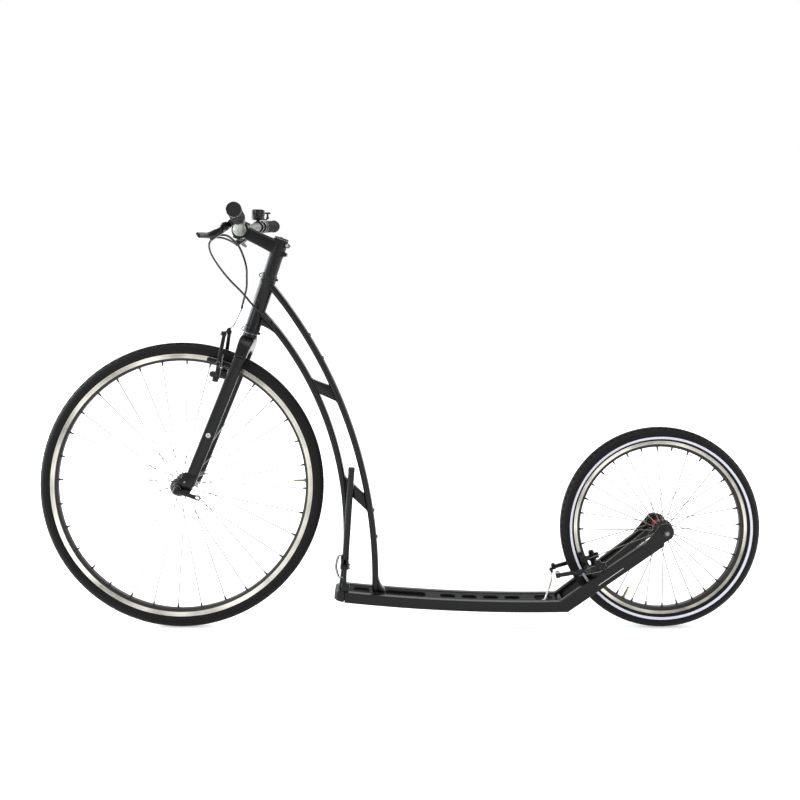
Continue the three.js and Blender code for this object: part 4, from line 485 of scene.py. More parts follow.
# Turned shapes are made about Z. AXLE lays them along Y, SIDE stands a flat outline up in X and Z,
# and FACE stands one up in Y and Z.
AXLE = Matrix.Rotation(-pi / 2, 4, "X")
SIDE = Matrix.Rotation(pi / 2, 4, "X")
FACE = Matrix(((0, 0, 1, 0), (1, 0, 0, 0), (0, 1, 0, 0), (0, 0, 0, 1)))


# Places

# The steering column's lean and how far ahead of it the front axle lies
TILT = radians(18.2)
RAKE = 43
front_axle = Vector((-526.5, 0, 343))
rear_axle = Vector((628.5, 0, 241))
column_foot = front_axle + Vector((RAKE * cos(TILT), 0, -RAKE * sin(TILT)))
COLUMN = shift(column_foot) @ Matrix.Rotation(TILT, 4, "Y")
HEAD_BOTTOM, HEAD_TOP = 409, 532

# The deck's bow: where its middle line is lowest, and its radius
BOW_X, BOW_Z, BOW = 310, 58, 4190
DECK_FRONT = -131
RAIL_HALF, RAIL_ASIDE = 12.5, 33
nose_slope = atan2(BOW_X - DECK_FRONT, BOW)

# The lower end of the mitre between a rail and its stay
corner = Vector((402, 0, 47.8))
STAY_HIGH = 31


def deck_height(x):
    return BOW_Z + BOW - sqrt(BOW**2 - (x - BOW_X) ** 2)


stay_slope = atan2(rear_axle.z - STAY_HIGH - corner.z, rear_axle.x - corner.x)
stay_way = Vector((cos(stay_slope), 0, sin(stay_slope)))
stay_up = Vector((-sin(stay_slope), 0, cos(stay_slope)))
lifted = corner + stay_up * STAY_HIGH
mitre = lifted + stay_way * ((deck_height(corner.x) + RAIL_HALF - lifted.z) / stay_way.z)

# The arcs' tube, and each arc's centre, radius and angle at the head
TUBE_DEEP, TUBE_WIDE = 15.3, 32
front_arc = (Vector((-911.5, 0, 230)), 783, radians(43.5))
rear_arc = (Vector((-1179, 0, 115)), 1120, radians(39.6))


def arc_frame(arc, angle):
    """A place on an arc: X points away from its centre, Y aside and Z up along it."""
    centre, radius, _ = arc
    out = Vector((cos(angle), 0, sin(angle)))
    return stood(out, Vector((0, 1, 0)), Vector((-sin(angle), 0, cos(angle))), centre + out * radius)


def arc_point(arc, angle, offset=0.0, aside=0.0):
    return arc_frame(arc, angle) @ Vector((offset, aside, 0))


def arc_angle(arc, z, offset=0.0):
    return asin((z - arc[0].z) / (arc[1] + offset))


def smooth_share(value, low, high):
    share = min(max((value - low) / (high - low), 0), 1)
    return share * share * (3 - 2 * share)


def solved(inside, low, high):
    """Where between low and high a test turns from true to false."""
    for _ in range(24):
        middle = (low + high) / 2
        if inside(middle):
            low = middle
        else:
            high = middle
    return (low + high) / 2


# Wheels

RIM_HALF = 11
SPOKES = 32
TURN_STEPS = 180


class Wheel:
    """A wheel's radii and widths, and the angles of its first spoke and its valve."""

    def __init__(self, name, at, tyre, width, rim, track, depth, flange, first, valve, banded):
        self.name, self.at, self.tyre, self.width = name, at, tyre, width
        self.rim, self.track, self.inner, self.flange = rim, track, rim - depth, flange
        self.first, self.valve, self.banded = first, valve, banded
        self.body = name + "_wheel"
        self.place = shift(at)

    def spot(self, radius, angle, y=0.0):
        return self.at + Vector((radius * cos(angle), y, radius * sin(angle)))


front = Wheel(
    "front", front_axle, tyre=343, width=32, rim=317, track=11, depth=18, flange=22,
    first=radians(9.2), valve=radians(1.8), banded=False,
)
rear = Wheel(
    "rear", rear_axle, tyre=241, width=38, rim=209, track=8, depth=16, flange=24,
    first=radians(1.7), valve=radians(-117), banded=True,
)


def spread(shape):
    """Each face of a turned shape with its middle's distance from Z, and the middle."""
    for face in shape.faces:
        at = face.calc_center_median()
        yield face, at.xy.length, at


def both_halves(half_side):
    """A closed turned profile from the half of it on one side of a wheel's middle."""
    return [(radius, -y) for radius, y in half_side] + half_side[::-1]


def lacing(wheel):
    """Each spoke's angle and the side of the hub that it starts from."""
    return [(wheel.first + k * tau / SPOKES, 1 if k % 2 else -1) for k in range(SPOKES)]


def tyre_skin(wheel):
    """The tyre's closed section: bead, sidewall, grooved tread and the casing inside."""
    half = wheel.width / 2
    centre = wheel.tyre - half
    lip, foot = wheel.rim + GAP, wheel.rim - 5.2
    bead_at = RIM_HALF - 1.8 - GAP
    reach = acos((lip - centre) / half)
    outer = round_end((centre, 0), half, -reach, reach, 30)
    groove = half * 0.42
    edge = sqrt(half**2 - groove**2) + centre
    grooved = []
    for before, after in zip(outer, outer[1:]):
        grooved.append(before)
        for side in BOTH:
            if before[1] < side * groove <= after[1]:
                for radius, aside in ((edge, -0.7), (edge - 0.9, -0.4), (edge - 0.9, 0.4), (edge, 0.7)):
                    grooved.append((radius, side * groove + aside))
    grooved.append(outer[-1])
    inside = round_end((centre, 0), half - 3.2, radians(80), radians(-80), 4)
    skin = [(foot, -bead_at), (lip, -bead_at), *grooved, (lip, bead_at), (foot, bead_at)]
    return [*skin, (foot, bead_at - 3.6), *inside, (foot, 3.6 - bead_at)]


def make_tyre(wheel):
    shape = turned(tyre_skin(wheel), TURN_STEPS, looped=True)
    half = wheel.width / 2
    centre = wheel.tyre - half
    # Shallow wells in the shoulders, at every second step
    wells = []
    for face, radius, at in spread(shape):
        step = int(round(atan2(at.y, at.x) / tau * TURN_STEPS - 0.5)) % TURN_STEPS
        shoulder = radians(28) < abs(atan2(at.z, radius - centre)) < radians(44)
        outside = (radius - centre) ** 2 + at.z**2 > (half - 1.5) ** 2
        if outside and shoulder and step % 2 == 0:
            wells.append(face)
    bmesh.ops.inset_individual(shape, faces=wells, thickness=0.5, depth=-0.6)
    # The pale band round the rear tyre's walls
    for face, radius, at in spread(shape):
        outside = (radius - centre) ** 2 + at.z**2 > (half - 1) ** 2
        if wheel.banded and outside and 214.9 < radius < 218.9 and abs(at.z) > 12.5:
            face.material_index = 1
    parts = [(moved(shape, wheel.place @ AXLE), (tyre_rubber, stripe_film))]
    piece(wheel.name + "_tyre", wheel.body, parts)


def make_rim(wheel):
    bed, seat = wheel.rim - 5.5, RIM_HALF - 1.8
    track = wheel.rim - wheel.track
    groove = wheel.rim - wheel.track * 0.45
    half_side = [
        (wheel.inner, 4.0), (wheel.inner + 0.7, RIM_HALF * 0.6), (track - 1.2, RIM_HALF - 0.8),
        (track, RIM_HALF), (groove, RIM_HALF), (groove + 0.3, RIM_HALF - 0.35),
        (groove + 0.8, RIM_HALF - 0.35), (groove + 1.1, RIM_HALF), (wheel.rim - 0.4, RIM_HALF),
        (wheel.rim, RIM_HALF - 0.4), (wheel.rim, seat), (bed + 1, seat), (bed, seat - 1),
    ]
    shape = turned(both_halves(half_side), TURN_STEPS, looped=True)
    for face, radius, at in spread(shape):
        face.material_index = 0 if radius > track - 0.3 and abs(at.z) > RIM_HALF - 0.5 else 1
    parts = [(moved(shape, wheel.place @ AXLE), (rim_track, rim_black))]
    for angle, side in lacing(wheel):
        hole = [wheel.spot(wheel.inner + out, angle, side * 3) for out in (0.6, -0.5)]
        parts.append((pipe(*hole, 3.1, 1.8, 0.2, 12), rim_black))
    piece(wheel.name + "_rim", wheel.body, parts)


def make_hub(wheel):
    """The turned hub and its spokes, laced straight out, each with an elbow, a head and a nipple."""
    flange = wheel.flange
    half_side = [
        (5.2, 49.6), (8.6, 49.6), (9.5, 48.8), (9.5, 41), (13, 37.5), (15.6, 34.4), (flange - 3, 32.4),
        (flange - 0.6, 32.2), (flange, 31.6), (flange, 28.4), (flange - 0.6, 27.8), (15.4, 27.6),
        (13.6, 25), (13, 21), (11.6, 12),
    ]
    shell = turned(both_halves(half_side), 48, looped=True)
    for face, radius, at in spread(shell):
        face.material_index = 1 if wheel.banded and abs(at.z) < 21 and radius > 9 else 0
    parts = [(moved(shell, wheel.place @ AXLE), (hub_black, hub_red))]
    for side in BOTH:
        seal = [wheel.at + aside(side * y) for y in (41, 43.5)]
        parts.append((pipe(*seal, 10.6, 8.5), axle_steel))
    for angle, side in lacing(wheel):
        hole, start, elbow = [wheel.spot(18.5, angle, side * y) for y in (32.2, 33.3, 27)]
        end = wheel.spot(wheel.inner - 0.4, angle, side * 3)
        way = (end - start).normalized()
        foot = end - way * 8
        bend = [elbow, elbow.lerp(start, 0.45), elbow.lerp(start, 0.8), start + way * 1.3, start + way * 4]
        nipple = turned([(0, 0), (1.5, 0), (2, 0.8), (2, 4.5), (2.3, 5.2), (2.3, 8), (0, 8)], 10)
        parts += [
            (pipe(hole, hole + aside(side * 0.4), 2.3, 1.1, 0.1, 12), axle_steel),
            (cord(through(bend, 2), 1, 8), spoke_steel),
            (rod(start + way * 3.5, foot + way * 3, 1, sides=8), spoke_steel),
            (rod(elbow, elbow - aside(side * 1.134), 2, 1.5, sides=10), spoke_steel),
            (moved(nipple, on(foot, way)), bolt_dark),
        ]
    piece(wheel.name + "_hub", wheel.body, parts, wheel.name + "_spoked_hub")


def make_valve(wheel):
    at = lambda drop: wheel.spot(wheel.inner - drop, wheel.valve)
    way = at(30) - at(0)
    threads = [(0, 0), (2.7, 0)]
    for k in range(12):
        threads += [(3.0, 0.4 + k * 1.4), (2.6, 1.1 + k * 1.4)]
    threads += [(2.8, 17.5), (2.8, 21), (0, 21)]
    cap = [(0, 0), (2.2, 0), (2.2, 6.8), (1.6, 8.6), (0, 9)]
    parts = [
        (moved(turned(threads, 16), on(at(0), way)), valve_brass),
        (moved(turned(cap, 16), on(at(20.7), way)), valve_brass),
        (nut(at(0.4), way, 4.8, 2.4), valve_brass),
    ]
    piece(wheel.name + "_valve", wheel.body, parts)


for wheel in (front, rear):
    make_tyre(wheel)
    make_rim(wheel)
    make_hub(wheel)
    make_valve(wheel)


# Frame


def ring_where(arc, section, test, low, high):
    """The ring round a tube on an arc where a test of its points turns from true to false."""
    ring = []
    for u, v in section:
        angle = solved(lambda turn: test(arc_point(arc, turn, u, v)), low, high)
        ring.append(arc_point(arc, angle, u, v))
    return ring


def arc_tube(arc, top, steps=56):
    """A bowed tube with its weld beads at the head tube and at the deck."""
    section = rounded(TUBE_DEEP, TUBE_WIDE, 6.5)
    low = arc_angle(arc, deck_height(arc[0].x + arc[1]) + top - 5)
    frames = [arc_frame(arc, low + (arc[2] - low) * k / steps) for k in range(steps + 1)]
    in_head = lambda at: (COLUMN.inverted() @ at).xy.length < 18.7
    in_deck = lambda at: at.z < deck_height(at.x) + top
    return [
        (swept(section, frames), frame_paint),
        (bead(ring_where(arc, section, in_head, arc[2], arc[2] - radians(6))), frame_paint),
        (bead(ring_where(arc, section, in_deck, radians(-20), radians(8))), frame_paint),
    ]


def rear_arc_parts():
    parts = arc_tube(rear_arc, 10.5)
    foot_x = rear_arc[0].x + rear_arc[1]
    foot = deck_height(foot_x) + RAIL_HALF
    face = foot_x + TUBE_DEEP / 2
    toe = (face + 16, foot + 1.5)
    outline = [(face - 7, foot + 38), (face - 7, foot - 3), (face + 16, foot - 3), toe]
    outline += bent(toe, (face + 2, foot + 14), (face - 1, foot + 38), 8)
    parts.append((moved(slab(outline, 24, 2.2), SIDE), frame_paint))
    for low in (646, 216):
        for rise in (0, 64):
            angle = arc_angle(rear_arc, low) + rise / rear_arc[1]
            start, end = arc_point(rear_arc, angle, 4), arc_point(rear_arc, angle, 9)
            parts.append((rod(start, end, 5.4, 4.6, ease=0.4), frame_paint))
            parts.append((screw(end, end - start, 3.6, 2.2), bolt_chrome))
    return parts


def front_arc_parts():
    parts = arc_tube(front_arc, 12.5)
    head = front_arc[2] - radians(2)
    start = head - (42 + 18.5) / front_arc[1]
    outline = []
    for share, drop in ((0, 0), (0, 7.65), (0.25, 8.6), (0.5, 12.4), (0.75, 18.5), (1, 26.65), (1, 0)):
        at = arc_point(front_arc, start + (head - start) * share, -drop)
        outline.append((at.x, at.z))
    parts.append((moved(slab(outline, 20, 3.0), SIDE), frame_paint))
    entry = arc_point(front_arc, front_arc[2] - 56.67 / front_arc[1], 3.95)
    entry.y = -16
    way = Vector((-0.6, -0.36, 0.72)).normalized()
    parts.append((rod(entry - way * 9, entry + way * 8, 4, ease=0.6), frame_paint))
    parts.append((pipe(entry + way * 6.5, entry + way * 9, 4.4, 2.6), brake_black))
    return parts


def bridge_parts(front_high, front_drop, rear_high, rear_drop):
    """A beam between the arcs, from its upper edge's height and its depth at each of them."""
    outline, beads = [], []
    for arc, high, drop, shares, way in (
        (front_arc, front_high, front_drop, (0, 0.5, 1), 1),
        (rear_arc, rear_high, rear_drop, (1, 0.5, 0), -1),
    ):
        angles = [arc_angle(arc, high - drop * share, way * 7.4) for share in shares]
        outline += [arc_point(arc, angle, way * 7.4) for angle in angles]
        ring = []
        for first, last, start, end in ((0, 2, -11, -11), (2, 2, -11, 11), (2, 0, 11, 11), (0, 0, 11, -11)):
            for k in range(6):
                angle = angles[first] + (angles[last] - angles[first]) * k / 6
                ring.append(arc_point(arc, angle, way * 7.7, start + (end - start) * k / 6))
        beads.append((bead(ring, 1.1, 60), frame_paint))
    beam = moved(slab([(p.x, p.z) for p in outline], 22, 2.6, segments=3), SIDE)
    return [(beam, frame_paint), *beads]


def sleeve(edge, bottom, top, sides=56):
    """A ring round Z with the same edge at both ends, given as (radius, distance from the end) pairs."""
    low = [(radius, bottom + depth) for radius, depth in edge]
    high = [(radius, top - depth) for radius, depth in edge[::-1]]
    return turned(low + high, sides, looped=True)


def head_tube_parts():
    edge = [(16, 0), (19, 0), (19.5, 0.5), (19.5, 6.4), (19.1, 7.2), (18.5, 8.6)]
    return [(moved(sleeve(edge, HEAD_BOTTOM, HEAD_TOP, 64), COLUMN), frame_paint)]


def cup_parts(bottom, height):
    """A headset cup with a groove round it, an eye ahead and a lug behind."""
    top = bottom + height
    profile = [
        (14.8, bottom), (17.6, bottom), (18.9, bottom + 0.9), (19.2, bottom + 2),
        (19.2, bottom + height * 0.42), (18.7, bottom + height * 0.46), (18.7, bottom + height * 0.52),
        (19.2, bottom + height * 0.56), (19.2, top - 2), (18.7, top - 0.7), (17.6, top), (14.8, top),
    ]
    middle = bottom + height / 2
    parts = [
        (turned(profile, 56, looped=True), brake_black),
        (moved(hoop(4.5, 1.1), shift((-19.8, 0, middle)) @ SIDE), brake_black),
        (moved(block((5, 6, 6), 1.2), shift((20.4, 0, middle))), brake_black),
    ]
    return placed(parts, COLUMN)


piece("front_arc", "frame", front_arc_parts(), "front_arc_tube")
piece("rear_arc", "frame", rear_arc_parts(), "rear_arc_tube")
piece("upper_bridge", "frame", bridge_parts(599, 36, 582, 38))
piece("lower_bridge", "frame", bridge_parts(362, 37, 319, 39))
piece("head_tube", "frame", head_tube_parts())
piece("lower_cup", "frame", cup_parts(HEAD_BOTTOM - GAP - 9, 9), "lower_headset_cup")
piece("upper_cup", "frame", cup_parts(HEAD_TOP + GAP, 17), "upper_headset_cup")


# Deck and stays


# The outline of the mitre between a rail and its stay: distance aside and how far up or down
SEAM = ((-7, -0.9), (-7, 0.9), (-6, 1), (6, 1), (7, 0.9), (7, -0.9), (6, -1), (-6, -1))


def make_rails():
    frames = []
    for k in range(41):
        x = DECK_FRONT + (404 - DECK_FRONT) * k / 40
        way = Vector((1, 0, (x - BOW_X) / BOW)).normalized()
        at = Vector((x, RAIL_ASIDE, deck_height(x)))
        frames.append(stood(Vector((0, 1, 0)), Vector((-way.z, 0, way.x)), way, at))
    for side, name in SIDES:
        shape = swept(rounded(14, 25, 2.2, 3), frames)
        cut(shape, (mitre + corner) / 2, Vector((mitre.z - corner.z, 0, corner.x - mitre.x)))
        seam = [aside(RAIL_ASIDE + u) + corner.lerp(mitre, 0.5 + v / 2) for u, v in SEAM]
        parts = placed([(shape, frame_paint), (bead(seam, 1.0, 60), frame_paint)], flipped(side))
        piece(name + "_rail", "frame", parts, name + "_deck_rail")


def slot_ring(low, high, half):
    middle = (low + high) / 2
    return [(middle + u, v) for u, v in rounded(high - low, 2 * half, min(half * 0.6, 8), 5)]


def make_deck_plate():
    slots = [(-112, -73, 15), (-34, 62, 17), (326, 368, 16)]
    slots += [(x, x + 36, 12) for x in (98, 150, 202, 254)]
    ahead, behind, half = -121, 377, 25.8
    outline = [(ahead, -half), (behind, -half), (behind, half), (ahead, half)]
    shape = slab(outline, 3, 0.7, [slot_ring(*slot) for slot in slots])
    sliced(shape, ahead, behind - ahead, 20)
    for vert in shape.verts:
        vert.co.z += deck_height(vert.co.x) + 9
    for face in shape.faces:
        face.material_index = 1 if face.normal.z > 0.9 else 0
    parts = [(shape, (frame_paint, deck_grip))]
    piece("deck_plate", "frame", parts)


def make_nose():
    half = [(-122.2, 25.7), (-132.2, 25.7), (-132.2, 40), (-149, 31), (-157, 18)]
    outline = half + [(x, -y) for x, y in reversed(half)]
    shape = slab([(x - DECK_FRONT, y) for x, y in outline], 25, 2.2)
    place = shift((DECK_FRONT, 0, deck_height(DECK_FRONT))) @ Matrix.Rotation(nose_slope, 4, "Y")
    piece("deck_nose", "frame", [(moved(shape, place), frame_paint)])


# The stays lean out from the mitre to the axle
lean_out = 16 / (rear_axle.x - mitre.x)
SPLAY = Matrix(((1, 0, 0, 0), (lean_out, 1, 0, -lean_out * mitre.x), (0, 0, 1, 0), (0, 0, 0, 1)))

# The brakes' places: X is towards their studs' feet, Z along their arms
REAR_BRAKE = (
    shift((474.4026, 0, 154.0009))
    @ Matrix.Rotation(-stay_slope - radians(67.393), 4, "Y")
    @ Matrix.Rotation(pi, 4, "Z")
)
stud_reach, stud_angle = 284, radians(0.8)
stud_line = (stud_reach * sin(stud_angle) - RAKE, 0, stud_reach * cos(stud_angle))
FRONT_BRAKE = COLUMN @ shift(stud_line) @ Matrix.Rotation(radians(-8.8), 4, "Y")
STUD_ASIDE = 40


def stud_parts(place, base):
    """A brake stud's foot and pin on one side."""
    at = lambda x: (x, STUD_ASIDE, 0)
    foot = rod(at(6.3), at(6 + base), 6.8, 7.6, ease=0.6)
    return placed([(foot, frame_paint), (rod(at(-7), at(10), 4), axle_steel)], place)


def stay_parts(side):
    end = rear_axle.x - 2.5
    low = corner + stay_way * ((end - corner.x) / stay_way.x)
    shoulder_z = rear_axle.z - 12.5
    shoulder = lifted + stay_way * ((shoulder_z - lifted.z) / stay_way.z)
    outline = [(corner.x, corner.z), (low.x, low.z), (low.x, shoulder_z), (shoulder.x, shoulder.z)]
    outline.append((mitre.x, mitre.z))
    place = SPLAY @ shift((0, RAIL_ASIDE, 0)) @ SIDE
    foot = rear_axle - stay_way * 62
    axle = (rear_axle.x, rear_axle.z)
    plate = round_end(axle, 20, stay_slope - pi / 2, stay_slope + pi / 2, 16)
    plate += [(p.x, p.z) for p in (foot + stay_up * 4, foot - stay_up * 15.5)]
    hole = [(axle[0] + u, axle[1] + v) for u, v in circle(5.3, 24)]
    line_at = corner + stay_way * 130.5 + stay_up * 12 + aside(40.05)
    line_place = SPLAY @ shift(line_at) @ Matrix.Rotation(-stay_slope, 4, "Y")
    parts = [
        (moved(slab(outline, 14, 2.4, segments=3), place), frame_paint),
        (moved(slab(plate, 6, 0.9, [hole]), shift((0, 53, 0)) @ SIDE), frame_paint),
        (moved(block((72, 0.5, 1.3), 0.15), line_place), line_paint),
    ]
    return placed(parts, flipped(side)) + stud_parts(REAR_BRAKE @ flipped(-side), 26)


def make_stay_bridge():
    way = (mitre - corner).normalized()
    across = Vector((way.z, 0, -way.x)) * 6
    low, high = corner + way * 3, mitre - way * 3
    outline = [(p.x, p.z) for p in (low - across, high - across, high + across, low + across)]
    parts = [(moved(slab(outline, 52, 1.8), SIDE), frame_paint)]
    piece("stay_bridge", "frame", parts)


def make_rear_axle():
    at = lambda y: rear_axle + aside(y)
    parts = [(rod(at(-69.8), at(69.8), 4.7, sides=20, ease=0.6), axle_steel)]
    for side in BOTH:
        parts.append((pipe(at(side * 56.3), at(side * 57.9), 10.5, 4.8, 0.3), bolt_dark))
        parts.append((nut(at(side * 57.9), (0, side, 0), 8.9, 7.6), bolt_dark))
        parts.append((hoop_at(at(side * 58.2), 8.6, 0.7), bolt_dark))
    piece("rear_axle", "frame", parts)


def hoop_at(at, radius, wire):
    return moved(hoop(radius, wire), shift(at) @ AXLE)


make_rails()
make_deck_plate()
make_nose()
for side, name in SIDES:
    piece(name + "_stay", "frame", stay_parts(side))
make_stay_bridge()
make_rear_axle()


# Fork


BLADE_ASIDE = 45


def blade_x(height):
    return -(349 - height) * tan(radians(3.7))


def crown_parts():
    """The arch over the tyre with its collar and the steerer."""
    base, shoulder = 340, 391
    outer, inner, under = 55, 35, base + 17.3
    outline = [(outer, base), *bent((outer, base), (outer, shoulder - 7), (18, shoulder), 12)]
    outline += [(-18, shoulder), *bent((-18, shoulder), (-outer, shoulder - 7), (-outer, base), 12)]
    outline += [(-inner, base), *bent((-inner, base), (-inner, under), (0, under), 8)]
    outline += [*bent((0, under), (inner, under), (inner, base), 8)[:-1], (inner, base)]
    arch = moved(slab(outline, 29, 4.2, segments=4), COLUMN @ FACE)
    for vert in arch.verts:
        at = COLUMN.inverted() @ vert.co
        at.x *= 1 + 0.2 * smooth_share(at.z, 350, shoulder)
        vert.co = COLUMN @ at
    collar = [(0, 372), (15, 372), (17, 384), (18, 390), (18, 396.6), (17.4, 398), (0, 398)]
    bolt = COLUMN @ shift((-15.6, 0, 374))
    return [
        (arch, frame_paint),
        (moved(turned(collar, 48), COLUMN), frame_paint),
        (moved(rod((0, 0, 395), (0, 0, 636), 14.3, sides=32), COLUMN), axle_steel),
        (moved(pipe((0.5, 0, 0), (-0.6, 0, 0), 3.6, 2.2, 0.2, 16), bolt), axle_steel),
    ]


def blade_section(sides=32):
    points = []
    for k in range(sides):
        angle = tau * k / sides
        u, v = cos(angle), sin(angle)
        points.append((abs(u) ** 0.75 * (14.5 if u > 0 else -14.5), abs(v) ** 0.75 * (10 if v > 0 else -10)))
    return points


def blade_parts(side):
    stations = [(12.6, 0.6), (13.4, 0.82), (15, 0.94)]
    stations += [(high, 1) for high in (18, 60, 120, 180, 240, 300, 340)]
    frames = []
    for high, size in stations:
        at = shift((blade_x(high), BLADE_ASIDE, high))
        frames.append(at @ Matrix.Diagonal((size, size, 1, 1)))
    rear_edge, front_edge = blade_x(15) + 13, blade_x(15) - 13
    end = [(rear_edge, 44), (front_edge, 44), (-RAKE - 8.4, 9.6)]
    end += round_end((-RAKE, 0), 12, pi * 0.72, pi * 1.3, 12)
    end += [(-RAKE - 5.3, -10.5), *round_end((-RAKE, 0), 5.3, pi, 0, 8), (-RAKE + 5.3, -11)]
    end += [(rear_edge - 4.8, -10), (rear_edge, 15)]
    boss = lambda y: (-12.4, y, 143.7)
    parts = [
        (swept(blade_section(), frames), frame_paint),
        (moved(slab(end, 5, 0.8), shift((0, 52.5, 0)) @ SIDE), frame_paint),
        (pipe(boss(53.5), boss(56.6), 5.6, 2.6, 0.5, 28), bolt_chrome),
        (rod(boss(53.5), boss(55.8), 2.7), axle_steel),
        (moved(hoop(3.4, 1.3), shift((-2.4, 51.5, 26)) @ SIDE), bolt_chrome),
        (rod((-31.5, 54.5, 21.4), (-31.5, 55.5, 21.4), 2.2), axle_steel),
    ]
    return placed(parts, COLUMN @ flipped(side)) + stud_parts(FRONT_BRAKE @ flipped(side), 24)


def skewer_parts():
    at = lambda y: Vector((-RAKE, y, 0))
    parts = [
        (rod(at(-50), at(50), 4.7), axle_steel),
        (rod(at(-63.8), at(64.3), 2.5), axle_steel),
        (pipe(at(55.3), at(64.3), 8.6, 2.6, 1.2, 10), brake_black),
        (pipe(at(55.3), at(57), 9, 2.6, 0.3), axle_steel),
        (pipe(at(-63.8), at(-57.2), 8.4, 2.6, 1.2), brake_black),
        (pipe(at(-57.2), at(-55.3), 9, 2.6, 0.3), axle_steel),
    ]
    return placed(parts, COLUMN)


def quick_release_parts():
    """The bowed lever with an eye in its end, on its cam."""
    outline = [(-1, -5), (14, -4.4), (40, -4.6), (52, -5.5), *round_end((56, 0), 6, -pi / 2, pi / 2, 10)]
    outline += [(52, 5.5), (40, 4.6), (14, 4.4), (-1, 5)]
    eye = [(54.4 + u, v) for u, v in rounded(9, 5.8, 2.8, 5)]
    length, bow = 62, 2.5
    lever = slab(outline, 4.5, 1.1, [eye])
    sliced(lever, 0, length, 12)
    for vert in lever.verts:
        share = min(max(vert.co.x / length, 0), 1)
        vert.co.z += bow * 4 * share * (1 - share)
    parts = [
        (moved(lever, SIDE), brake_black),
        (rod((0, 0, -7), (0, 0, 7), 6, sides=28, ease=0.8), brake_black),
        (rod((0, 0, -7.4), (0, 0, 7.4), 3.2), axle_steel),
    ]
    return placed(parts, COLUMN @ shift((-RAKE, -70.1, 0)))


piece("fork_crown", "steering", crown_parts())
for side, name in SIDES:
    piece(name + "_blade", "steering", blade_parts(side), name + "_fork_blade")
piece("front_skewer", "steering", skewer_parts())
piece("quick_release", "quick_release", quick_release_parts(), "quick_release_lever")


# Stem and bar

CUP_HIGH = 17
LOW_SPACER, HIGH_SPACER = 27, 17.5
STEM_HIGH, STEM_LONG = 43, 100
STACK = HEAD_TOP + GAP + CUP_HIGH + 0.5
STEM_BOTTOM = STACK + LOW_SPACER + GAP + HIGH_SPACER + GAP
STEM_MIDDLE = STEM_BOTTOM + STEM_HIGH / 2
STEM_RISE = radians(7)
bar_middle = Vector((-STEM_LONG * cos(STEM_RISE), 0, STEM_MIDDLE + STEM_LONG * sin(STEM_RISE)))
stem_way = Vector((-cos(STEM_RISE), 0, sin(STEM_RISE)))


def spacer_parts(bottom, height):
    edge = [(14.7, 0), (16.6, 0), (17, 0.4)]
    return [(moved(sleeve(edge, bottom, bottom + height), COLUMN), stem_paint)]


def clamp_ring():
    """The whole ring round the bar, before it is parted."""
    return pipe(bar_middle - aside(22), bar_middle + aside(22), 20.5, 16.2, 1.2, 64)


def clamp_ears():
    """Where the clamp's four bolts run."""
    down = Vector((stem_way.z, 0, -stem_way.x)) * 19.6
    return [bar_middle + down * high + aside(side * 15) for high in BOTH for side in BOTH]


def stem_parts():
    clamp = sleeve([(14.6, 0), (16.8, 0), (18, 1.2)], STEM_BOTTOM, STEM_BOTTOM + STEM_HIGH)
    path = [Vector((-8, 0, STEM_MIDDLE)).lerp(bar_middle + stem_way * -17, k / 8) for k in range(9)]
    sizes = []
    for k in range(9):
        share, bulge = k / 8, sin(pi * k / 8)
        sizes.append((1 - 0.11 * share - 0.05 * bulge, 1 - 0.16 * bulge))
    body = swept(rounded(36, 31, 8, 5), along(path, sizes, first=(0, 0, 1)))
    ring = cut(clamp_ring(), bar_middle + stem_way * -0.6, stem_way)
    parts = [(clamp, stem_paint), (body, stem_paint), (ring, stem_paint)]
    for high in BOTH:
        z = STEM_MIDDLE + high * 11
        parts.append((rod((19, -13, z), (19, 13, z), 5.6, sides=24, ease=0.8), stem_paint))
        parts.append((block_at((13, 0, z), (13, 24, 9), 2), stem_paint))
        parts.append((screw((19, -12.6 * high, z), (0, -high, 0), 3.9, 3), bolt_chrome))
    for ear in clamp_ears():
        parts.append((rod(ear - stem_way * 10, ear - stem_way * 0.6, 4.3, ease=0.5), stem_paint))
    return placed(parts, COLUMN)


def block_at(at, size, ease):
    return moved(block(size, ease), shift(at))


def faceplate_parts():
    parts = [(cut(clamp_ring(), bar_middle + stem_way * 0.6, -stem_way), stem_paint)]
    for ear in clamp_ears():
        parts.append((rod(ear + stem_way * 0.6, ear + stem_way * 9, 4.3, ease=0.5), stem_paint))
        parts.append((screw(ear + stem_way * 8.6, stem_way, 3.7, 3), bolt_chrome))
    return placed(parts, COLUMN)


def cap_parts():
    bottom = STEM_BOTTOM + STEM_HIGH + GAP
    side = [(0, 0), (16.6, 0), (17.2, 0.6), (17.2, 2), (16.2, 3.6), (14, 4), (6, 4), (5.6, 3.2), (0, 3.2)]
    cap = turned([(radius, bottom + high) for radius, high in side], 48)
    bolt = screw((0, 0, bottom + 3.2), (0, 0, 1), 5, 3.3)
    return placed([(cap, stem_paint), (bolt, bolt_chrome)], COLUMN)


# Places along the bar, from its middle: the last bend, half its length, the levers, grips and bell
BEND_END, BAR_HALF, LEVER_AT, GRIP_START, BELL_AT = 130, 308, 173, 186, 140

# The bar's ends sweep back and up from their last bend
SWEEP, UPSWEEP = tan(radians(4.6)), tan(radians(5.6))
end_way = Vector((SWEEP, 1, UPSWEEP))


def bar_point(y):
    back, rise = 12, 19.7
    share = smooth_share(abs(y), 22, BEND_END)
    over = max(0, abs(y) - BEND_END)
    return bar_middle + Vector((back * share + over * SWEEP, y, rise * share + over * UPSWEEP))


def bar_radius(y):
    thick, thin = 15.9, 11.1
    return thick + (thin - thick) * smooth_share(abs(y), 26, 62)


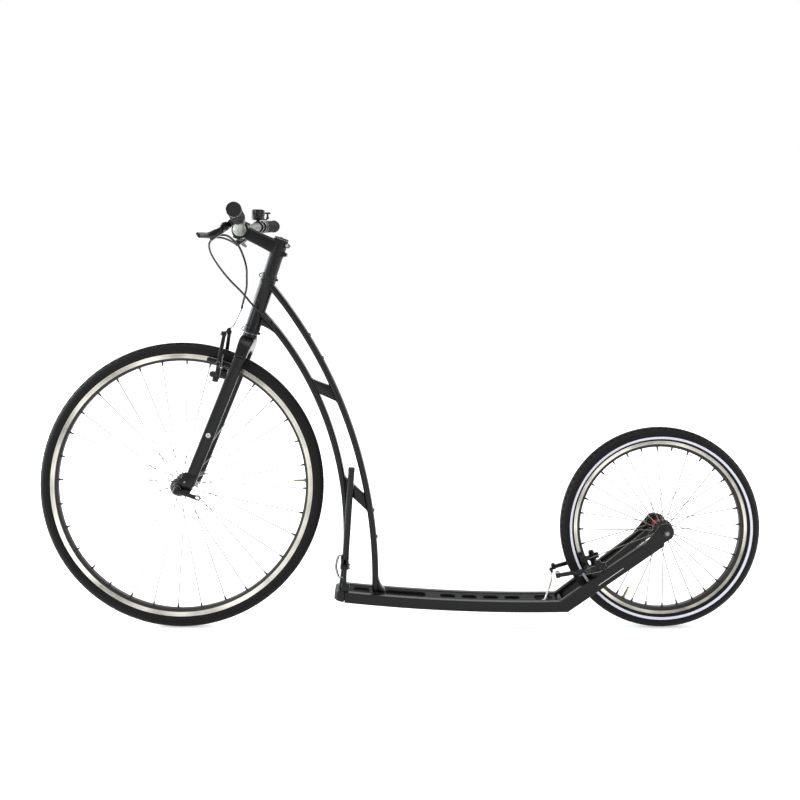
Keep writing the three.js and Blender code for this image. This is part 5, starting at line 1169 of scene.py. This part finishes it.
def bar_parts():
    path = [bar_point(-BAR_HALF + 2 * BAR_HALF * k / 88) for k in range(89)]
    sizes = [bar_radius(p.y) for p in path]
    bar = swept(circle(1, 32), along(path, sizes, first=(0, 0, 1)))
    return [(moved(bar, COLUMN), bar_alloy)]


spacer_above = STACK + LOW_SPACER + GAP
piece("lower_spacer", "steering", spacer_parts(STACK, LOW_SPACER))
piece("upper_spacer", "steering", spacer_parts(spacer_above, HIGH_SPACER))
piece("stem", "steering", stem_parts())
piece("faceplate", "steering", faceplate_parts(), "stem_faceplate")
piece("stem_cap", "steering", cap_parts())
piece("handlebar", "steering", bar_parts())


# Grips and levers


def bar_end(side):
    """The frame of one bar end: Y runs outwards along the bar from its last bend."""
    turn = Vector((0, 1, 0)).rotation_difference(end_way).to_matrix().to_4x4()
    return COLUMN @ flipped(side) @ shift(bar_point(BEND_END)) @ turn


def beside(place):
    return (place - BEND_END) * end_way.length


def lever_end(side):
    """The frame of a lever: X reaches away from the bar, Y outwards and Z through the lever."""
    drop = pi - radians(34.5) - TILT
    return bar_end(side) @ shift((0, beside(LEVER_AT), 0)) @ Matrix.Rotation(drop, 4, "Y")


def grip_parts(side):
    """A round ribbed grip with a collar inside and a glossy rimmed cap outside."""
    start, end = beside(GRIP_START), beside(BAR_HALF + 4)
    profile = [(11.4, start + 1), (14.6, start + 1), (15.4, start + 1.8), (15.8, start + 5)]
    ribs = 30
    low, high = start + 10, end - 12
    pitch = (high - low) / ribs
    for k in range(ribs):
        foot = low + pitch * k
        for radius, share in ((15.8, 0), (15.8, 0.5), (15.1, 0.62), (15.1, 0.88)):
            profile.append((radius, foot + pitch * share))
    profile += [(15.8, high + 1), (15.8, end - 7), (15.2, end - 6.4), (15.2, end - 5.8), (0, end - 5.8)]
    cap = [(0, end - 6), (16.1, end - 6), (16.7, end - 5.2), (16.7, end - 2), (16.2, end - 0.6), (15.2, end)]
    cap += [(14.2, end - 0.1), (13.7, end - 1), (12, end - 1.2), (0, end - 0.9)]
    place = bar_end(side)
    return [
        (moved(turned(profile, 40), place @ AXLE), grip_rubber),
        (moved(turned(cap, 48), place @ AXLE), grip_gloss),
        (moved(pipe((0, start - 0.5, 0), (0, start + 4, 0), 16.4, 11.4, 0.8), place), grip_gloss),
    ]


# Where a lever's pin stands, seen from the bar
LEVER_PIN = (34, 4)


def perch_parts(side):
    """The clamp on the bar, its arm with the jaws that hold the lever, and the barrel for the cable."""
    jaw = [(24.5, -4), (45.5, -5.5), *round_end(LEVER_PIN, 9.5, -pi / 6, pi / 2, 8), (26, 11)]
    arm = [(12, 6), (12, -6), (34, -12), (60, -24), (78, -24), (78, -11.4), (60, -6), (45.4, -5.5)]
    arm += [(24.5, -3.5), (22, 6)]
    barrel = lambda y: (71, y, 0)
    parts = [
        (pipe((0, -6, 0), (0, 6, 0), 15.5, 11.3, 1.0, 48), brake_black),
        (slab(arm, 15, 2.0), brake_black),
        (moved(slab(jaw, 4.4, 0.8), shift((0, 0, 5.3))), brake_black),
        (moved(slab(jaw, 4.4, 0.8), shift((0, 0, -5.3))), brake_black),
        (rod((*LEVER_PIN, -8), (*LEVER_PIN, 8), 2.4), axle_steel),
        (screw((*LEVER_PIN, 7.4), (0, 0, 1), 4.4, 2), bolt_dark),
        (nut((*LEVER_PIN, -7.4), (0, 0, -1), 4.2, 2.4), bolt_dark),
        (screw((2, -5.5, -15.5), (0, 0, -1), 3.4, 3), bolt_dark),
        (block_at((2, 0, -14.5), (10, 11, 6), 1.5), brake_black),
        (pipe(barrel(-23), barrel(-29), 6.3, 2.6, 0.9, 12), brake_black),
        (pipe(barrel(-29.6), barrel(-33), 6.0, 2.6, 0.9, 12), bolt_dark),
        (pipe(barrel(-33), barrel(-41), 4.6, 2.6, 0.8), brake_black),
    ]
    return placed(parts, lever_end(side))


def lever_parts(side):
    """The blade: a thin tongue at the pivot, a flattened bow under the fingers and a flat rounded end."""
    route = [(*LEVER_PIN, 0), (48.8, 7.8, 0), (65.4, 14.6, 0), (75, 31.4, 0), (81.9, 65, 0), (91, 112, 0)]
    path = through(route, 10)
    sizes = []
    for k in range(len(path)):
        share = k / (len(path) - 1)
        height = 5.8 + 7.4 * smooth_share(share, 0.14, 0.34) - 1.0 * smooth_share(share, 0.75, 1)
        thick = 8 - 1.6 * smooth_share(share, 0.3, 0.6)
        sizes.append((thick / 8, height / 13))
    tip_place = shift((90.8, 111, 0)) @ Matrix.Diagonal((0.44, 0.85, 0.84, 1))
    parts = [
        (swept(rounded(8, 13, 2.9, 4), along(path, sizes, first=(0.5, -1, 0))), lever_black),
        (pipe((*LEVER_PIN, -2.9), (*LEVER_PIN, 2.9), 6.4, 2.7, 0.5), lever_black),
        (moved(ball((0, 0, 0), 7, 12), tip_place), lever_black),
        (rod((64, -3, 0), (60, 10, 0), 1.0, sides=8), axle_steel),
        (rod((60, 9, -3.4), (60, 9, 3.4), 3.2), bolt_dark),
        (screw((50, 8.6, 2.2), (0, 0, 1), 2.2, 1.6), bolt_dark),
    ]
    return placed(parts, lever_end(side))


for side, name in SIDES:
    piece(name + "_grip", "steering", grip_parts(side))
    piece(name + "_perch", "steering", perch_parts(side), name + "_lever_perch")
    piece(name + "_lever", name + "_lever", lever_parts(side), name + "_brake_lever")


# Bell

bell_at = COLUMN @ bar_point(BELL_AT)
bell_way = (COLUMN @ bar_point(BELL_AT + 1)) - (COLUMN @ bar_point(BELL_AT - 1))
bell_way.normalize()
UP = Vector((0, 0, 1))
striker_foot = bell_at + Vector((21.6, 21.6, 20.5))


def bell_parts():
    base = bell_at + UP * 23
    dome = [(0, 5), (17.2, 5), (17.5, 5.6), (17.5, 18.4), (17.1, 20.2), (15.9, 21.4), (14, 22), (0, 22)]
    foot = [(0, -5), (12, -5), (15.4, -3.6), (16.4, -1), (16.4, 4.4), (0, 4.4)]
    arm = slab([(-7, -4.5), (6, -5), (26, -3), (30, 0), (26, 3), (6, 5), (-7, 4.5)], 4, 0.9)
    place = shift(base - UP * 2.5) @ Matrix.Rotation(pi / 4, 4, "Z")
    return [
        (pipe(bell_at - bell_way * 5, bell_at + bell_way * 5, 15.4, 11.6, 0.8, 48), brake_black),
        (rod(bell_at + UP * 13, base, 5, ease=0.5), brake_black),
        (moved(turned(foot, 40), shift(base)), brake_black),
        (moved(turned(dome, 48), shift(base)), bell_chrome),
        (moved(arm, place), brake_black),
        (screw(bell_at - UP * 14 + Vector((-2, 0, 0)), (-0.4, 0, -1), 3.4, 3), bolt_dark),
    ]


def striker_parts():
    foot = striker_foot + UP * 0.8
    top = foot + UP * 16
    coil = []
    for k in range(37):
        angle = tau * k / 9
        coil.append(foot + Vector((3.6 * cos(angle), 3.6 * sin(angle), 1 + k * 0.16)))
    return [
        (rod(foot, top, 2.8, 2.4, ease=0.3), brake_black),
        (cord(coil, 0.6, 6), bolt_dark),
        (rod(top - Vector((4.2, 0, 0)), top + Vector((7.8, 0, 0)), 2.4, ease=0.4), brake_black),
        (ball(top - Vector((4.6, 0, 0)), 2.6, 8), bolt_dark),
    ]


piece("bell", "steering", bell_parts())
piece("striker", "striker", striker_parts(), "bell_striker")


# Brakes


def pad_place(wheel, place):
    """How far up a brake's arms its pads sit, and where that is seen from the wheel's middle."""
    track = wheel.rim - wheel.track / 2 - 1
    pivot = place.translation - wheel.at
    arm = (place.to_3x3() @ Vector((0, 0, 1))).normalized()
    lengthwise = pivot.dot(arm)
    high = -lengthwise + sqrt(lengthwise**2 - (pivot.length_squared - track**2))
    spot = (place @ Vector((-0.75, 0, high))) - wheel.at
    return track, high, atan2(spot.z, spot.x), sqrt(spot.x**2 + spot.z**2)


# Distance aside and up an arm to its tip, where the wire is held
ARM_TIP = (33, 99)


def arm_shape():
    middle = [(STUD_ASIDE, 0), (41.5, 15.8), (43, 33.7), (38, 69.3), ARM_TIP]
    path = through([(-0.75, y, z) for y, z in middle], 7)
    last = len(path) - 1
    sizes = [(1 - 0.12 * k / last, 1 - 0.2 * k / last) for k in range(last + 1)]
    return swept(rounded(10, 10, 2.6, 4), along(path, sizes, first=(1, 0, 0)))


def arm_parts(place, pads_high, accent):
    """One V-brake arm on its stud, with its spring and adjusting screw."""
    at = lambda x, y, z: Vector((x, y, z))
    foot = lambda x: Vector((x, STUD_ASIDE, 0))
    spring = [(7.2, 46, -5), (7.6, 48, 4), (7.4, 47.4, 20), (7, 46, 38), (6.4, 44.6, 52)]
    parts = [
        (arm_shape(), brake_black),
        (rod(foot(-15), foot(6), 7.2, 8.4, ease=0.9, sides=28), brake_black),
        (rod(foot(4.5), foot(6.2), 9.2, ease=0.5, sides=28), brake_black),
        (moved(block((14, 9, 15), 2.4), shift((-2.6, 41, -9.4))), brake_black),
        (screw(foot(-14.9), (-1, 0, 0), 5.8, 3), brake_black),
        (screw(foot(-16.2), (-1, 0, 0), 3.0, 2.4), accent),
        (rod(at(-7.5, *ARM_TIP), at(4.5, *ARM_TIP), 5.6, ease=0.7), brake_black),
        (screw(at(-7.4, *ARM_TIP), (-1, 0, 0), 3.6, 2.8), bolt_dark),
        (cord(through(spring, 4), 0.9, 8), axle_steel),
        (rod(at(5.4, 44.6, 50), at(9, 44.6, 50), 1.8), bolt_dark),
        (screw(at(0, 47.6, 0), (0, 1, 0), 2.2, 2), bolt_dark),
        (pipe(at(-0.75, 36.5, pads_high), at(-0.75, 47.6, pads_high), 6.4, 3.2, 0.8), brake_black),
    ]
    return placed(parts, place)


def pad_parts(wheel, track, angle, spot_radius, side):
    """A pad curved to the rim on its post, with washers and nut."""
    half, high = 34 / track, 4.5
    outline = [(track + high, angle - half + 2 * half * k / 14) for k in range(15)]
    outline += [(track - high, angle + half - 2 * half * k / 14) for k in range(15)]
    flat = [(radius * cos(a), radius * sin(a)) for radius, a in outline]
    rubber = slab(flat, 7, 1.0)
    narrow = [((radius - track) * 0.82 + track, angle + (a - angle) * 0.94) for radius, a in outline]
    shoe = slab([(radius * cos(a), radius * sin(a)) for radius, a in narrow], 3.4, 0.9)
    at = lambda y: Vector((spot_radius * cos(angle), y, spot_radius * sin(angle)))
    parts = [
        (moved(rubber, shift((0, 16.5, 0)) @ SIDE), pad_rubber),
        (moved(shoe, shift((0, 21.4, 0)) @ SIDE), brake_black),
        (rod(at(22.5), at(53), 3), axle_steel),
        (pipe(at(23), at(27), 6, 3, 0.8), brake_black),
        (pipe(at(27), at(30.5), 5, 3, 0.8), bolt_dark),
        (pipe(at(30.5), at(36.3), 6.2, 3, 1.2), brake_black),
        (pipe(at(47.8), at(49), 6, 3, 0.3), axle_steel),
        (nut(at(49), (0, 1, 0), 5.6, 4), bolt_dark),
    ]
    return placed(parts, wheel.place @ flipped(side))


def noodle_parts(route):
    """The bent tube with its collar, and the boot beyond it."""
    path = through(route, 4)
    start, end = path[0], path[-1]
    first_way = (path[1] - path[0]).normalized()
    last_way = (path[-1] - path[-2]).normalized()
    bellows = [(0, 0), (2.6, 0)]
    for k in range(6):
        bellows += [(4.2 - k * 0.25, 1 + k * 3.4), (2.9 - k * 0.15, 2.7 + k * 3.4)]
    bellows += [(1.6, 22), (0, 22)]
    return [
        (cord(path, 2.4), bright_alloy),
        (rod(start - first_way * 0.2, start + first_way * 7, 3.3, ease=0.5), bright_alloy),
        (rod(end - last_way * 4, end + last_way * 0.5, 3.4, 2.6, ease=0.4), bright_alloy),
        (moved(turned(bellows, 20), on(end - last_way * 0.5, last_way)), pad_rubber),
    ]


def wire_parts(place, start, anchor_side):
    """The bare wire from a noodle's mouth to the far arm, clamped under its bolt."""
    local = place.inverted() @ Vector(start)
    anchor = Vector((-9.2, anchor_side * ARM_TIP[0], ARM_TIP[1]))
    route = [local, local.lerp(anchor, 0.5), anchor, anchor + Vector((0, anchor_side * 9, -3))]
    route = [place @ point for point in route]
    washer = moved(pipe(anchor + Vector((2.4, 0, 0)), anchor + Vector((-0.2, 0, 0)), 5, 2, 0.3), place)
    return [(cord(through(route, 3), 0.8, 8), axle_steel), (washer, bolt_chrome)]


front_noodle = [
    (-391, 44, 766.6), (-403, 46.5, 741), (-411.5, 45, 724), (-415.5, 38, 718.5), (-416.4, 30, 717.6),
    (-416.6, 21, 717.4),
]
rear_noodle = [
    (345.5, 6, 58.3), (349.4, 6, 59.4), (354, 7, 64), (358, 10, 73), (363, 17, 82), (369, 28, 92),
    (374, 39, 103), (375, 45, 114), (372.5, 43, 124), (369.8, 36, 129.4), (369.4, 22, 130),
]

for wheel, place, outer, route, accent in (
    (front, FRONT_BRAKE, 1, front_noodle, bolt_dark),
    (rear, REAR_BRAKE, -1, rear_noodle, valve_brass),
):
    track, pads_high, pad_angle, pad_radius = pad_place(wheel, place)
    mouth = Vector(route[-1])
    for side, name in SIDES:
        body = wheel.name + "_" + name + "_arm"
        parts = arm_parts(place @ flipped(side * outer), pads_high, accent)
        if side < 0:
            parts += wire_parts(place, mouth - aside(12), side * outer)
        pad = pad_parts(wheel, track, pad_angle, pad_radius, side)
        here = wheel.name + "_" + name
        piece(here + "_arm", body, parts, here + "_brake_arm")
        piece(here + "_pad", body, pad, here + "_brake_pad")
piece("front_noodle", "steering", noodle_parts(front_noodle))
piece("rear_noodle", "frame", noodle_parts(rear_noodle))


# Kickstand

stand_at = Vector((DECK_FRONT, -30, 153))
stand_lift = deck_height(DECK_FRONT) + RAIL_HALF + 0.6
stand_lean = Vector((sin(radians(3.9)), 0, cos(radians(3.9))))

# How far the spring's pins are from the pivot, and how far they stand out ahead of it
PIN_REACH, PIN_OUT = 26, 15.5


def pin_parts(z):
    """A pin with a head that holds an end of the spring, at a height from the pivot."""
    end = (-PIN_OUT, 0, z)
    return [(rod((0, 0, z), end, 1.6), axle_steel), (rod((0.9 - PIN_OUT, 0, z), end, 2.4), axle_steel)]


def bracket_parts():
    """The foot on the deck's nose and the lug that the leg's ears straddle."""
    low = stand_lift - stand_at.z
    place = shift((0, 0, low)) @ Matrix.Rotation(nose_slope, 4, "Y") @ shift((0, 0, 10))
    lug = [(-6, low + 4), (6, low + 4), *round_end((0, 0), 6, 0, pi, 12)]
    parts = [
        (moved(block((18, 13, 20), 1.6), place), frame_paint),
        (moved(slab(lug, 8, 0.8), FACE), frame_paint),
        *pin_parts(-PIN_REACH),
    ]
    return placed(parts, shift(stand_at))


def pivot_bolt_parts():
    at = lambda x: stand_at + Vector((x, 0, 0))
    head = turned([(0, 0), (6.5, 0), (6.5, 1.4), (5.4, 3), (3, 3.8), (0, 4)], 28)
    return [
        (rod(at(-9.6), at(9.6), 3.8), axle_steel),
        (moved(head, on(at(-9.5), (-1, 0, 0))), bolt_chrome),
        (nut(at(9.5), (1, 0, 0), 6.5, 4), bolt_chrome),
        (pipe(at(9.3), at(10.4), 7.2, 3.8, 0.3), bolt_chrome),
        (pipe(at(-10.4), at(-9.3), 7.2, 3.8, 0.3), bolt_chrome),
    ]


def leg_parts():
    ear = [*round_end((0, 0), 7.7, pi, tau, 12), (7.7, 27), (-7.7, 27)]
    tip = turned([(0, 0), (7.9, 0), (8.1, 1), (8.1, 9.6), (7.4, 10.6), (0, 10.6)], 28)
    parts = []
    for side in BOTH:
        parts.append((moved(slab(ear, 5, 0.8), shift((side * 6.8, 0, 0)) @ FACE), frame_paint))
    parts += [
        (block_at((0, 0, 22), (18.6, 15.4, 8), 1.2), frame_paint),
        (rod(stand_lean * 19, stand_lean * 34, 8.4, 7.9, sides=28, ease=0.6), frame_paint),
        (rod(stand_lean * 32, stand_lean * 228, 7.7, 7.6, sides=28), frame_paint),
        (moved(tip, on(stand_lean * 226.5, stand_lean)), frame_paint),
        *pin_parts(PIN_REACH),
    ]
    return placed(parts, shift(stand_at))


def spring_parts():
    """A tension spring bowed round the front of the pivot, hooked on both pins."""
    reach, x = PIN_REACH - 1.9, stand_at.x - 15.2
    turns, steps = 19, 12

    def middle(t):
        return Vector((x - 5.4 * sin(pi * t) - 0.5, stand_at.y, stand_at.z - reach + 2 * reach * t))

    path = []
    for k in range(turns * steps + 1):
        t = k / (turns * steps)
        way = (middle(min(1, t + 0.01)) - middle(max(0, t - 0.01))).normalized()
        out = Vector((way.z, 0, -way.x))
        angle = tau * k / steps
        path.append(middle(t) + (out * cos(angle) + aside(sin(angle))) * 2.3)
    return [(cord(path, 0.95, 8), spring_steel)]


piece("kickstand_bracket", "frame", bracket_parts())
piece("kickstand_bolt", "frame", pivot_bolt_parts(), "kickstand_pivot_bolt")
piece("kickstand_leg", "kickstand", leg_parts())
stand_spring = finished("kickstand_spring", spring_parts())
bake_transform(stand_spring)
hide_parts("kickstand_spring")


# Cables

front_cable = [
    (-423.8, -140.9, 932.9), (-425, -131.5, 932.7), (-423.8, -119, 935.9), (-415.5, -106.5, 940.8),
    (-401.5, -96, 940.6), (-388.3, -84, 930.4), (-377.7, -72, 917.1), (-369.5, -45, 888.3),
    (-368, -18, 863.1), (-370.4, -2, 847.1), (-373.3, 14, 820.4), (-380, 28, 799.8),
    (-390.5, 44, 767.4),
]
rear_cable = [
    (-423.8, 140.9, 932.9), (-425.3, 131.5, 932.7), (-428.4, 119.5, 935.3), (-436.5, 107.5, 939.8),
    (-447.8, 95, 943.6), (-459.2, 80, 943.7), (-467.5, 62, 938.3), (-470.2, 42, 926.8),
    (-464.6, 20, 910.6), (-454, 3, 893.8), (-441, -10, 876.9), (-427.6, -20, 860.9),
    (-404.8, -27, 835.2), (-382.7, -31, 813.9), (-371.4, -32, 802), (-348.3, -31, 774.1),
    (-325, -27.5, 752.5), (-310, -20.5, 737.5),
]
deck_cable = [
    (-117, 0, 76), (-60, 3, 68), (40, 5, 60), (160, 6, 54), (270, 6, 52), (330, 6, 54.6),
    (345, 6, 58.2),
]


def ferrule(at, way, length=7):
    way = Vector(way).normalized()
    return rod(at, Vector(at) + way * length, 3.1, ease=0.4)


def cable_parts(route, spans):
    path = through(route, spans)
    return [
        (cord(path, 2.5), cable_black),
        (ferrule(path[0], path[1] - path[0]), brake_black),
        (ferrule(path[-1], path[-2] - path[-1]), brake_black),
    ]


piece("front_cable", "steering", cable_parts(front_cable, 4), "front_brake_cable")
piece("deck_cable", "frame", cable_parts(deck_cable, 5), "deck_brake_cable")
rear_cable_piece = finished("rear_cable", cable_parts(rear_cable, 3))
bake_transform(rear_cable_piece)
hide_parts("rear_brake_cable")


# Floor, light and camera


def studio_white(tree, lit, shown, output):
    """Shows one colour to the camera and in reflections, and lights the object with another."""
    rays = added(tree, "LightPath", {})
    seen = rays.outputs["Is Camera Ray"]
    for kind in ("Is Glossy Ray", "Is Transmission Ray"):
        most = tree.nodes.new("ShaderNodeMath")
        most.operation = "MAXIMUM"
        seen = fed(tree, most, {0: seen, 1: rays.outputs[kind]}).outputs[0]
    mix = added(tree, "MixShader", {0: seen, 1: lit, 2: shown})
    fed(tree, output, {"Surface": mix.outputs[0]})


def make_floor():
    shape = bmesh.new()
    bmesh.ops.create_grid(shape, x_segments=1, y_segments=1, size=30)
    mesh = bpy.data.meshes.new("floor")
    shape.to_mesh(mesh)
    shape.free()
    floor = bpy.data.objects.new("floor", mesh)
    floor.location = (0, 0, -0.0005)
    bpy.context.scene.collection.objects.link(floor)
    material = bpy.data.materials.new("studio_floor")
    material.use_nodes = True
    tree = material.node_tree
    matt = {"Base Color": (0.86, 0.86, 0.86, 1), "Roughness": 1, "Specular IOR Level": 0}
    lit = fed(tree, tree.nodes["Principled BSDF"], matt).outputs["BSDF"]
    # The shown floor grows white away from the bike, so that only the soft shadow under it is left
    place = added(tree, "TexCoord", {})
    away = tree.nodes.new("ShaderNodeVectorMath")
    away.operation = "LENGTH"
    fed(tree, away, {0: place.outputs["Object"]})
    growing = tree.nodes.new("ShaderNodeMapRange")
    growing.interpolation_type = "SMOOTHSTEP"
    reach = {"From Min": 0.5, "From Max": 2.2, "To Min": 0.42, "To Max": 1}
    fed(tree, growing, {"Value": away.outputs["Value"], **reach})
    glow = added(tree, "Emission", {"Color": (1, 1, 1, 1), "Strength": growing.outputs["Result"]})
    both = added(tree, "AddShader", {0: lit, 1: glow.outputs["Emission"]})
    studio_white(tree, lit, both.outputs[0], tree.nodes["Material Output"])
    mesh.materials.append(material)


def make_world():
    world = bpy.data.worlds.new("studio")
    world.use_nodes = True
    tree = world.node_tree
    white = (1, 1, 1, 1)
    lit = fed(tree, tree.nodes["Background"], {"Color": white, "Strength": 0.55})
    shown = added(tree, "Background", {"Color": white, "Strength": 1})
    studio_white(tree, lit.outputs[0], shown.outputs[0], tree.nodes["World Output"])
    bpy.context.scene.world = world


def lamp(name, at, size, watts, aim=(0, 0, 0.45), colour=(1, 1, 1)):
    data = bpy.data.lights.new(name, "AREA")
    data.color = colour
    data.shape = "RECTANGLE"
    data.size, data.size_y = size
    data.energy = watts
    made = bpy.data.objects.new(name, data)
    made.location = at
    made.rotation_euler = (Vector(aim) - Vector(at)).to_track_quat("-Z", "Y").to_euler()
    bpy.context.scene.collection.objects.link(made)


make_floor()
make_world()
lamp("softbox_over", (0, -0.6, 3.2), (3.0, 2.2), 45)
lamp("softbox_left", (-2.6, -2.6, 1.9), (1.6, 1.8), 30)
lamp("softbox_right", (2.8, -2.2, 1.6), (1.4, 1.8), 20)
lamp("softbox_behind", (0.6, 2.8, 2.2), (2.6, 1.4), 22)
lamp("softbox_edge", (-3.0, 1.0, 1.0), (3.4, 2.2), 170, colour=(0.9, 0.96, 1.0))
lamp("softbox_far_edge", (3.2, 1.2, 1.0), (1.6, 2.0), 30)

camera_data = bpy.data.cameras.new("camera")
camera_data.sensor_width = 36
camera_data.lens = 41.8
camera_data.shift_y = -0.15
camera = bpy.data.objects.new("camera", camera_data)
camera.location = (0.0006, -2.25, 0.8374)
camera.rotation_euler = (pi / 2, 0, 0)
bpy.context.scene.collection.objects.link(camera)
bpy.context.scene.camera = camera
bpy.context.scene.view_settings.view_transform = "Standard"
